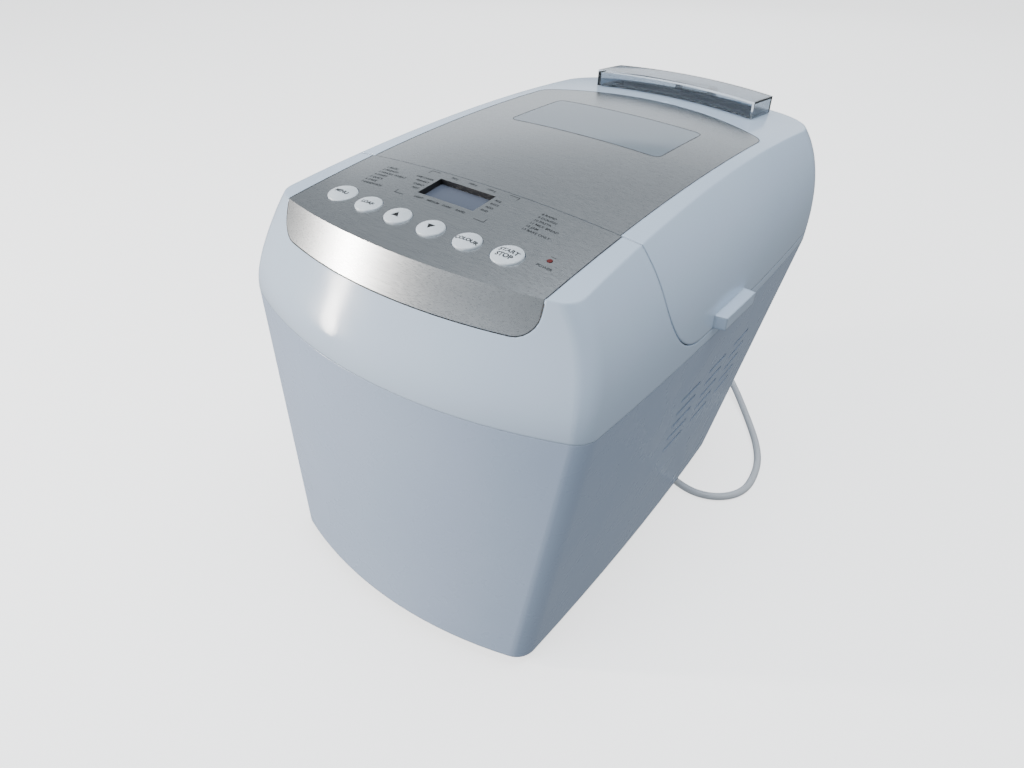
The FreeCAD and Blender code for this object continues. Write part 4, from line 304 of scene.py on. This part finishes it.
# Mains cord. The points of its run and its tail are those of the part; the coil follows from the run's end.
mainsCord = {
    "radius": 3.1,
    "exit": (18, 166.273, 35),
    "run": [
        (18, 183, 35), (24.5, 201, 32.5), (39, 212.5, 26.5), (58, 214.5, 19), (76, 207.5, 11.5),
        (91.5, 194.5, 6), (106, 178, 3.4), (121, 158.5, 3.1), (136, 137, 3.1), (147, 115, 3.1),
        (152, 92, 3.1), (152, 73, 3.1), (144.2, 57.5, 3.1), (130.4, 47.2, 3.1), (113.4, 44.1, 3.1),
        (91, 50.7, 3.1), (67.3, 61.5, 3.1), (45.5, 76.4, 3.1), (26.2, 93.8, 3.1), (8.8, 113.1, 3.1),
        (-6.5, 134.1, 3.1), (-18.7, 157.1, 3.1), (-28.4, 181.2, 4.6), (-36.4, 205.9, 4.6),
    ],
    "halfTurns": [38, 34.55, 31.1, 34.55, 38, 41.45],
    "climbingTurn": 2,
    "layer": 6.9,
    "pointsPerHalfTurn": 8,
    "tail": [
        (-35.998, 227.053, 11.5), (-46.875, 243.837, 13.667), (-61.726, 257.233, 15.833),
        (-79.537, 266.330, 18), (-99.096, 270.506, 18),
    ],
    "length": 1.322,
    "curveOrder": 3,
    "stepsAlong": 6,
    "stepsRound": 5,
}


def coilPoints(cord):
    # Each half turn bends to the left, and one of them climbs to the upper layer.
    start, before = Vector(cord["run"][-1]), Vector(cord["run"][-2])
    ahead = (start - before).normalized()
    ahead.z = 0
    ahead.normalize()
    upward = Vector((0, 0, 1))
    count = cord["pointsPerHalfTurn"]
    swell = 1 / math.cos(math.pi / count / 2)
    points = []
    for turn, radius in enumerate(cord["halfTurns"]):
        left = upward.cross(ahead)
        centre = start + left * radius
        lift = cord["layer"] if turn == cord["climbingTurn"] else 0
        for step in range(count):
            angle = math.pi * (step + 0.5) / count
            reach = radius * swell
            spot = centre - left * (reach * math.cos(angle)) + ahead * (reach * math.sin(angle))
            spot.z = start.z + lift * (1 - math.cos(angle)) / 2
            points.append(spot)
        start = start + left * 2 * radius + upward * lift
        ahead = -ahead
    return points + [start]


def addCord(cord):
    points = [Vector(cord["exit"])] + [Vector(point) for point in cord["run"]]
    points += coilPoints(cord) + [Vector(point) for point in cord["tail"]]
    data = bpy.data.curves.new("mains_cord", "CURVE")
    data.dimensions = "3D"
    line = data.splines.new("NURBS")
    line.points.add(len(points) - 1)
    for held, point in zip(line.points, points):
        held.co = (*(point * mm), 1)
    line.order_u = cord["curveOrder"]
    line.use_endpoint_u = True
    line.resolution_u = cord["stepsAlong"]
    data.bevel_depth = cord["radius"] * mm
    data.bevel_resolution = cord["stepsRound"]
    data.use_fill_caps = True
    data.materials.append(finishes["cord_white"])
    piece = bpy.data.objects.new("mains_cord", data)
    scene.collection.objects.link(piece)
    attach(piece, "housing")
    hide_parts("power_cord", "cord_coil")
    return piece


cordPiece = addCord(mainsCord)
print("cord laid")

# Shapes. Sizes are in millimetres and become metres in the finished mesh.
onAxis = 1e-6
lettering = {"capitalShare": 0.72, "weld": 0.002, "curveSteps": 3}


def finishMesh(name, work, slot, body, smoothAngle=35, replaced=()):
    # Turns a bmesh in millimetres into a piece that rides on a body.
    bmesh.ops.scale(work, vec=(mm, mm, mm), verts=work.verts)
    data = bpy.data.meshes.new(name)
    work.to_mesh(data)
    work.free()
    data.materials.append(finishes[slot])
    data.shade_smooth()
    data.set_sharp_from_angle(angle=math.radians(smoothAngle))
    piece = bpy.data.objects.new(name, data)
    scene.collection.objects.link(piece)
    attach(piece, body)
    if replaced:
        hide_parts(*replaced)


def addTurned(work, profile, place, steps=64):
    # Turns a profile of (radius, height) round its axis and puts it at a place; its ends lie on the axis.
    rings = []
    for radius, height in profile:
        if radius < onAxis:
            rings.append([work.verts.new(place @ Vector((0, 0, height)))])
            continue
        ring = []
        for step in range(steps):
            angle = 2 * math.pi * step / steps
            spot = Vector((radius * math.cos(angle), radius * math.sin(angle), height))
            ring.append(work.verts.new(place @ spot))
        rings.append(ring)
    for first, second in zip(rings, rings[1:]):
        for step in range(steps):
            after = (step + 1) % steps
            corners = []
            for ring, spot in ((first, step), (first, after), (second, after), (second, step)):
                corner = ring[spot % len(ring)]
                if corner not in corners:
                    corners.append(corner)
            if len(corners) > 2:
                work.faces.new(corners)
    bmesh.ops.recalc_face_normals(work, faces=work.faces)


def arcProfile(centre, radius, start, end, count):
    points = []
    for step in range(count + 1):
        angle = math.radians(start + (end - start) * step / count)
        points.append((centre[0] + radius * math.cos(angle), centre[1] + radius * math.sin(angle)))
    return points


topPlate = {"apex": 284.0, "middle": 33.8, "longRadius": 1520.0, "crossRadius": 1070.0}


def topHeight(x, y):
    # Height of the crowned top.
    along, across = topPlate["longRadius"], topPlate["crossRadius"]
    cross = along - across + math.sqrt(across ** 2 - x * x)
    return topPlate["apex"] - along + math.sqrt(cross ** 2 - (y - topPlate["middle"]) ** 2)


def layOn(work, added, place):
    # Lays a flat mesh on the surface, with its faces up. place maps a flat point to the surface.
    fresh = {corner: work.verts.new(place(corner.co.x, corner.co.y)) for corner in added.verts}
    for face in added.faces:
        face.normal_update()
        order = list(face.verts) if face.normal.z > 0 else list(reversed(face.verts))
        work.faces.new([fresh[corner] for corner in order])
    added.free()


def addLetters(work, words, height, place, bold, justify="CENTER"):
    # Letters as a thin mesh, lettered along X.
    data = bpy.data.curves.new("letters", "FONT")
    data.body = words
    data.size = height / lettering["capitalShare"]
    data.align_x = justify
    data.align_y = "CENTER"
    data.offset = bold
    data.resolution_u = lettering["curveSteps"]
    holder = bpy.data.objects.new("letters", data)
    scene.collection.objects.link(holder)
    bpy.context.view_layer.update()
    flat = bpy.data.meshes.new_from_object(holder.evaluated_get(bpy.context.evaluated_depsgraph_get()))
    bpy.data.objects.remove(holder)
    bpy.data.curves.remove(data)
    added = bmesh.new()
    added.from_mesh(flat)
    bpy.data.meshes.remove(flat)
    bmesh.ops.remove_doubles(added, verts=added.verts, dist=lettering["weld"])
    bmesh.ops.triangulate(added, faces=added.faces)
    layOn(work, added, place)


def addPatch(work, outline, place, cuts=0):
    # A flat outline, cut finer and laid on the surface.
    added = bmesh.new()
    added.faces.new([added.verts.new((x, y, 0)) for x, y in outline])
    bmesh.ops.triangulate(added, faces=added.faces)
    if cuts:
        bmesh.ops.subdivide_edges(added, edges=added.edges, cuts=cuts, use_grid_fill=True)
    layOn(work, added, place)


# Keys: a domed cap with a rounded edge over a flange and a stem, each on its own body.
keys = {
    "names": ("menu", "loaf", "up", "down", "colour", "start"),
    "labels": (("MENU",), ("LOAF",), (), (), ("COLOUR",), ("START", "STOP")),
    "first": -66.5,
    "pitch": 24.7,
    "rowMiddle": -142.8,
    "rowRadius": 450,
    "tilt": 6.627152,
    "radius": 8.1,
    "endRadius": 9.1,
    "rise": 2.2,
    "dome": 26,
    "domeSteps": 10,
    "edge": 0.9,
    "edgeStart": 78,
    "edgeSteps": 6,
    "smoothAngle": 50,
    "flange": 1.3,
    "flangeDepth": 3.7,
    "stem": 2,
    "stemEnd": -8.05,
    "letterHeight": 2.6,
    "endLetterHeight": 3.1,
    "lineShare": 1.45,
    "bold": 0.17,
    "labelShift": -0.7,
    "arrowHalfWidth": 2.53,
    "arrowHalfLength": 2.07,
    "arrowCuts": 6,
    "inkLift": 0.05,
}
keyLean = math.radians(keys["tilt"])


def keyPlace(index):
    x = keys["first"] + index * keys["pitch"]
    y = keys["rowMiddle"] + keys["rowRadius"] - math.sqrt(keys["rowRadius"] ** 2 - x * x)
    return Matrix.Translation((x, y, topHeight(x, y))) @ Matrix.Rotation(keyLean, 4, "X")


def domeHeight(across):
    return keys["rise"] - keys["dome"] + math.sqrt(keys["dome"] ** 2 - across * across)


def keyProfile(radius, stemEnd):
    # From the top of the dome, over the round edge and down to the stem.
    inner = radius - keys["edge"]
    points = []
    for step in range(keys["domeSteps"] + 1):
        across = inner * step / keys["domeSteps"]
        points.append((across, domeHeight(across)))
    middle = (inner, domeHeight(inner) - keys["edge"])
    points += arcProfile(middle, keys["edge"], keys["edgeStart"], 0, keys["edgeSteps"])
    rim, stem, high = radius + keys["flange"], keys["stem"], -keys["flangeDepth"]
    low = high - keys["flange"]
    return points + [(radius, high), (rim, high), (rim, low), (stem, low), (stem, stemEnd), (0, stemEnd)]


def stemEndAt(place):
    # The stems end in one plane over the switches, and the outer keys sit lower on the crowned plate.
    spot = place.translation
    sunk = (spot.y - keys["rowMiddle"]) * math.sin(keyLean)
    sunk += (topHeight(0, keys["rowMiddle"]) - spot.z) * math.cos(keyLean)
    return keys["stemEnd"] + sunk


def addKeyLabel(ink, name, lines, tall, place):
    def onDome(shift):
        def spotOn(x, y):
            return place @ Vector((x, y + shift, domeHeight(math.hypot(x, y + shift)) + keys["inkLift"]))
        return spotOn

    for row, words in enumerate(lines):
        shift = ((len(lines) - 1) / 2 - row) * tall * keys["lineShare"] + keys["labelShift"]
        addLetters(ink, words, tall, onDome(shift), keys["bold"])
    if not lines:
        way = 1 if name == "up" else -1
        wide, long = way * keys["arrowHalfWidth"], way * keys["arrowHalfLength"]
        arrow = [(-wide, -long), (wide, -long), (0, long)]
        addPatch(ink, arrow, onDome(keys["labelShift"]), keys["arrowCuts"])


lastKey = len(keys["names"]) - 1
for index, name in enumerate(keys["names"]):
    place = keyPlace(index)
    radius = keys["endRadius"] if index in (0, lastKey) else keys["radius"]
    cap = bmesh.new()
    addTurned(cap, keyProfile(radius, stemEndAt(place)), place)
    finishMesh(f"{name}_cap", cap, "key_white", f"{name}_key", keys["smoothAngle"], [f"key_{name}"])
    tall = keys["endLetterHeight"] if index == lastKey else keys["letterHeight"]
    ink = bmesh.new()
    addKeyLabel(ink, name, keys["labels"][index], tall, place)
    finishMesh(f"{name}_label", ink, "black_plastic", f"{name}_key")
print("keys made")

# Print on the control plate: programmes beside the display, settings round it, and the lamp's word.
panelPrint = {
    "lift": 0.06,
    "letterHeight": 2.0,
    "smallHeight": 1.75,
    "leftList": (-70.0, -97.0, (
        "1 BASIC", "2 FRENCH", "3 WHOLE WHEAT", "4 SWEET", "5 QUICK", "6 CAKE", "7 SANDWICH")),
    "rightList": (47.0, -95.0, (
        "8 RAPID", "9 DOUGH", "10 PASTA", "11 MILK BREAD", "12 JAM", "13 BAKE ONLY")),
    "listStep": 3.75,
    "bold": 0.03,
    "above": (("750 g", -21.0), ("1000 g", -7.0), ("1250 g", 7.0)),
    "aboveY": -89.6,
    "below": (("LIGHT", -23.0), ("MEDIUM", -12.0), ("DARK", -1.5), ("RAPID", 8.5)),
    "belowY": -119.3,
    "leftSide": ("KEEP WARM", "PREHEAT", "KNEAD", "REST"),
    "leftX": -30.5,
    "rightSide": ("RISE", "BAKE", "ADD", "END"),
    "rightX": 16.5,
    "sideStep": 4.3,
    "display": (-7.0, -104.6),
    "bracket": {"reach": (26.5, 16.6), "arm": 7.0, "hook": 3.6, "hookMiddle": 1.6, "stroke": 0.4},
    "lampWord": ("POWER", 78.0, -136.2),
    "lampLine": (77.0, -126.2, 3.2, 0.35),
}


def onPlate(x, y, dx=0.0, dy=0.0):
    return Vector((x + dx, y + dy, topHeight(x + dx, y + dy) + panelPrint["lift"]))


def plateText(work, words, x, y, height, justify):
    addLetters(work, words, height, lambda u, v: onPlate(u, v, x, y), panelPrint["bold"], justify)


def plateBar(work, x, y, wide, long):
    corners = [(-wide / 2, -long / 2), (wide / 2, -long / 2), (wide / 2, long / 2), (-wide / 2, long / 2)]
    addPatch(work, corners, lambda u, v: onPlate(u, v, x, y))


ink = bmesh.new()
for x, y, rows in (panelPrint["leftList"], panelPrint["rightList"]):
    for row, words in enumerate(rows):
        plateText(ink, words, x, y - row * panelPrint["listStep"], panelPrint["letterHeight"], "LEFT")
small = panelPrint["smallHeight"]
for words, x in panelPrint["above"]:
    plateText(ink, words, x, panelPrint["aboveY"], small, "CENTER")
for words, x in panelPrint["below"]:
    plateText(ink, words, x, panelPrint["belowY"], small, "CENTER")
middleX, middleY = panelPrint["display"]
sideRows = list(zip(panelPrint["leftSide"], panelPrint["rightSide"]))
for row, (leftWords, rightWords) in enumerate(sideRows):
    y = middleY + ((len(sideRows) - 1) / 2 - row) * panelPrint["sideStep"]
    plateText(ink, leftWords, panelPrint["leftX"], y, small, "RIGHT")
    plateText(ink, rightWords, panelPrint["rightX"], y, small, "LEFT")
bracket = panelPrint["bracket"]
reachX, reachY = bracket["reach"]
arm, stroke = bracket["arm"], bracket["stroke"]
for sideX in (-1, 1):
    for sideY in (-1, 1):
        hookY = middleY + sideY * (reachY - bracket["hookMiddle"])
        plateBar(ink, middleX + sideX * (reachX + arm / 2), middleY + sideY * reachY, arm, stroke)
        plateBar(ink, middleX + sideX * (reachX + arm), hookY, stroke, bracket["hook"])
plateText(ink, *panelPrint["lampWord"], panelPrint["letterHeight"], "CENTER")
plateBar(ink, *panelPrint["lampLine"])
finishMesh("panel_print", ink, "black_plastic", "housing")
print("panel printed")

# Display: dark walls round the opening, down to the lens.
display = {"half": (21.0, 10.5), "wall": 0.5, "depth": 4.2, "top": 0.9, "clear": 0.05}


def onPanel(x, y, z):
    # Panel frame: leans with the key row, with its origin on the plate there.
    start = Vector((0, keys["rowMiddle"], topHeight(0, keys["rowMiddle"])))
    return Matrix.Translation(start) @ Matrix.Rotation(keyLean, 4, "X") @ Vector((x, y, z))


def addRing(work, outer, inner, low, high, middle):
    # Rectangular ring between two half sizes.
    rows = []
    for half, z in ((outer, low), (outer, high), (inner, high), (inner, low)):
        row = []
        for sx, sy in ((-1, -1), (1, -1), (1, 1), (-1, 1)):
            row.append(work.verts.new(onPanel(middle[0] + sx * half[0], middle[1] + sy * half[1], z)))
        rows.append(row)
    for first, second in zip(rows, rows[1:] + rows[:1]):
        for step in range(4):
            work.faces.new((first[step], first[(step + 1) % 4], second[(step + 1) % 4], second[step]))
    bmesh.ops.recalc_face_normals(work, faces=work.faces)


displaySpot = (middleX, (middleY - keys["rowMiddle"]) / math.cos(keyLean))
outerHalf = [half - display["clear"] for half in display["half"]]
innerHalf = [half - display["wall"] for half in display["half"]]
walls = bmesh.new()
addRing(walls, outerHalf, innerHalf, display["clear"] - display["depth"], -display["top"], displaySpot)
finishMesh("display_walls", walls, "black_plastic", "housing")
print("display lined")

# Painted shadow: dark bars round the control plate, the lid plate and the window, laid in their seams where
# the gaps are in shade.
seamShadows = {
    "radius": 0.36,
    "sink": 0.2,
    "controlHalf": 93.5,
    "skirtTop": 268,
    "skirtLow": 247.5,
    "skirtCorner": 12.5,
    "skirtLap": 1,
    "splitY": -86.6,
    "lidNear": -85.2,
    "lidHalf": 92.2,
    "lidRear": 127.4,
    "lidRearRadius": 190.2,
    "lidCorner": 12.2,
    "windowHalf": 59.15,
    "windowNear": 14.65,
    "windowFar": 77.95,
    "windowCorner": 5.0,
    "step": 3.0,
    "sides": 6,
    "rayStart": -240,
    "rearSteps": 24,
}


def surfaceOf(*names):
    # Ray target made of some nodes of the frame.
    corners, faces = [], []
    for name in names:
        data = nodes[name].data
        start = len(corners)
        corners += [held.co / mm for held in data.vertices]
        faces += [[start + corner for corner in face.vertices] for face in data.polygons]
    return BVHTree.FromPolygons(corners, faces)


def spread(points, step):
    # Points along a broken line, no further apart than the step.
    out = [Vector(points[0])]
    for first, second in zip(points, points[1:]):
        first, second = Vector(first), Vector(second)
        count = max(1, math.ceil((second - first).length / step))
        out += [first.lerp(second, part / count) for part in range(1, count + 1)]
    return out


def onTop(points, sink):
    spots = spread(points, seamShadows["step"])
    return [Vector((spot.x, spot.y, topHeight(spot.x, spot.y) - sink)) for spot in spots]


def onFront(target, points, sink):
    found = []
    for spot in spread(points, seamShadows["step"]):
        start = Vector((spot.x, seamShadows["rayStart"], spot.y))
        hit, normal = target.ray_cast(start, Vector((0, 1, 0)))[:2]
        found.append(hit - normal * sink)
    return found


def roundTree():
    # Geometry nodes: a round bar along a path.
    tree = bpy.data.node_groups.new("round_bar", "GeometryNodeTree")
    inputs = {"Geometry": "Geometry", "Radius": "Float", "Sides": "Int", "Finish": "Material"}
    for label, kind in inputs.items():
        tree.interface.new_socket(label, in_out="INPUT", socket_type=f"NodeSocket{kind}")
    tree.interface.new_socket("Geometry", in_out="OUTPUT", socket_type="NodeSocketGeometry")
    given = tree.nodes.new("NodeGroupInput")
    profile = tree.nodes.new("GeometryNodeCurvePrimitiveCircle")
    sweep = tree.nodes.new("GeometryNodeCurveToMesh")
    sweep.inputs["Fill Caps"].default_value = True
    single = tree.nodes.new("GeometryNodeRealizeInstances")
    painted = tree.nodes.new("GeometryNodeSetMaterial")
    result = tree.nodes.new("NodeGroupOutput")
    tree.links.new(given.outputs["Radius"], profile.inputs["Radius"])
    tree.links.new(given.outputs["Sides"], profile.inputs["Resolution"])
    tree.links.new(given.outputs["Geometry"], sweep.inputs["Curve"])
    tree.links.new(profile.outputs["Curve"], sweep.inputs["Profile Curve"])
    tree.links.new(sweep.outputs["Mesh"], single.inputs["Geometry"])
    tree.links.new(single.outputs["Geometry"], painted.inputs["Geometry"])
    tree.links.new(given.outputs["Finish"], painted.inputs["Material"])
    tree.links.new(painted.outputs["Geometry"], result.inputs["Geometry"])
    return tree


barTree = roundTree()


def addBars(name, paths, slot, body):
    # One piece of round bars, each along its own path in millimetres.
    data = bpy.data.curves.new(name, "CURVE")
    data.dimensions = "3D"
    for points, closed in paths:
        line = data.splines.new("POLY")
        line.points.add(len(points) - 1)
        for held, point in zip(line.points, points):
            held.co = (*(point * mm), 1)
        line.use_cyclic_u = closed
    holder = bpy.data.objects.new(name + "_path", data)
    scene.collection.objects.link(holder)
    shaper = holder.modifiers.new("bars", "NODES")
    shaper.node_group = barTree
    ids = {held.name: held.identifier for held in barTree.interface.items_tree if held.in_out == "INPUT"}
    shaper[ids["Radius"]] = seamShadows["radius"] * mm
    shaper[ids["Sides"]] = seamShadows["sides"]
    shaper[ids["Finish"]] = finishes[slot]
    bpy.context.view_layer.update()
    made = bpy.data.meshes.new_from_object(holder.evaluated_get(bpy.context.evaluated_depsgraph_get()))
    bpy.data.objects.remove(holder)
    bpy.data.curves.remove(data)
    made.name = name
    made.shade_smooth()
    piece = bpy.data.objects.new(name, made)
    scene.collection.objects.link(piece)
    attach(piece, body)


def quarter(centre, radius, start, end, count=6):
    return [Vector((x, y)) for x, y in arcProfile(centre, radius, start, end, count)]


def controlPlateLine():
    half, low, corner = (seamShadows[key] for key in ("controlHalf", "skirtLow", "skirtCorner"))
    top, sink = seamShadows["skirtTop"], seamShadows["sink"]
    turnX, turnZ = half - corner, low + corner
    skirt = [Vector((-half, top)), Vector((-half, turnZ))] + quarter((-turnX, turnZ), corner, 180, 270)
    skirt += quarter((turnX, turnZ), corner, 270, 360) + [Vector((half, top))]
    skirtLine = onFront(surfaceOf("upper_housing"), skirt, sink)
    sides = []
    for way, bend in ((-1, skirtLine[0]), (1, skirtLine[-1])):
        ends = [(way * half, seamShadows["splitY"]), (way * half, bend.y + seamShadows["skirtLap"])]
        sides.append(onTop(ends, sink))
    return sides[0] + skirtLine + list(reversed(sides[1]))


def lidPlateLine():
    half, near, rear = (seamShadows[key] for key in ("lidHalf", "lidNear", "lidRear"))
    radius, corner = seamShadows["lidRearRadius"], seamShadows["lidCorner"]
    rearMiddle, turnX = rear - radius, half - corner
    turnY = rearMiddle + math.sqrt((radius - corner) ** 2 - turnX ** 2)
    tip = math.degrees(math.atan2(turnY - rear + radius, turnX))
    line = [Vector((half, near)), Vector((half, turnY))] + quarter((turnX, turnY), corner, 0, tip)
    line += quarter((0, rearMiddle), radius, tip, 180 - tip, seamShadows["rearSteps"])
    line += quarter((-turnX, turnY), corner, 180 - tip, 180) + [Vector((-half, near))]
    return onTop(line, seamShadows["sink"])


def windowLine():
    near, far, corner = (seamShadows[key] for key in ("windowNear", "windowFar", "windowCorner"))
    turnX = seamShadows["windowHalf"] - corner
    line = []
    for turn, (x, y) in enumerate(((turnX, near + corner), (turnX, far - corner),
                                   (-turnX, far - corner), (-turnX, near + corner))):
        line += quarter((x, y), corner, 90 * (turn - 1), 90 * turn)
    return onTop(line + [line[0]], seamShadows["sink"])[:-1]


# Painted shadow: dark bars in the gaps round the plates and the window.
addBars("control_plate_seam_shadow", [(controlPlateLine(), False)], "black_plastic", "housing")
addBars("lid_plate_seam_shadow", [(lidPlateLine(), False), (windowLine(), True)], "black_plastic", "lid")
print("seams lined")

# Floor and light.
studio = {
    "floorHalf": 6.0,
    "floorTone": (0.93, 0.93, 0.93),
    "floorGlow": 1.6,
    "sky": (0.86, 0.93, 1.0),
    "skyStrength": 0.36,
}
lamps = {
    "window_light": {"place": (-1.35, -1.2, 0.4), "target": (0, 0, 0.24), "size": (0.12, 1.0),
                     "power": 40, "colour": (1.0, 0.93, 0.86)},
    "front_light": {"place": (-0.7, -2.0, 1.6), "target": (0, 0, 0.2), "size": (1.6, 1.2),
                    "power": 30, "colour": (0.88, 0.94, 1.0)},
    "ceiling_light": {"place": (0.3, 0.3, 2.1), "target": (0, 0, 0.1), "size": (1.6, 1.6),
                      "power": 34, "colour": (0.90, 0.95, 1.0)},
    "back_wall": {"place": (-1.15, 1.75, 0.7), "target": (0, 0, 0.25), "size": (2.0, 0.7),
                  "power": 4.5, "colour": (0.92, 0.96, 1.0)},
}


def addFloor(half):
    data = bpy.data.meshes.new("floor")
    corners = [(-half, -half, 0), (half, -half, 0), (half, half, 0), (-half, half, 0)]
    data.from_pydata(corners, [], [(0, 1, 2, 3)])
    floor = bpy.data.objects.new("floor", data)
    pale = newFinish("floor_paper", studio["floorTone"], 0.9, Emission_Color=(1, 1, 1, 1),
                     Emission_Strength=studio["floorGlow"])
    floor.visible_diffuse = False
    floor.visible_glossy = False
    data.materials.append(pale)
    scene.collection.objects.link(floor)


def addLamp(name, place, target, size, power, colour):
    data = bpy.data.lights.new(name, "AREA")
    data.shape = "RECTANGLE"
    data.size, data.size_y = size
    data.energy = power
    data.color = colour
    lamp = bpy.data.objects.new(name, data)
    lamp.location = place
    lamp.rotation_mode = "QUATERNION"
    lamp.rotation_quaternion = (Vector(target) - Vector(place)).to_track_quat("-Z", "Y")
    scene.collection.objects.link(lamp)


addFloor(studio["floorHalf"])
world = bpy.data.worlds.new("studio")
world.use_nodes = True
backdrop = world.node_tree.nodes["Background"]
backdrop.inputs["Color"].default_value = (*studio["sky"], 1)
backdrop.inputs["Strength"].default_value = studio["skyStrength"]
scene.world = world
for name, lamp in lamps.items():
    addLamp(name, **lamp)
print("stage set")
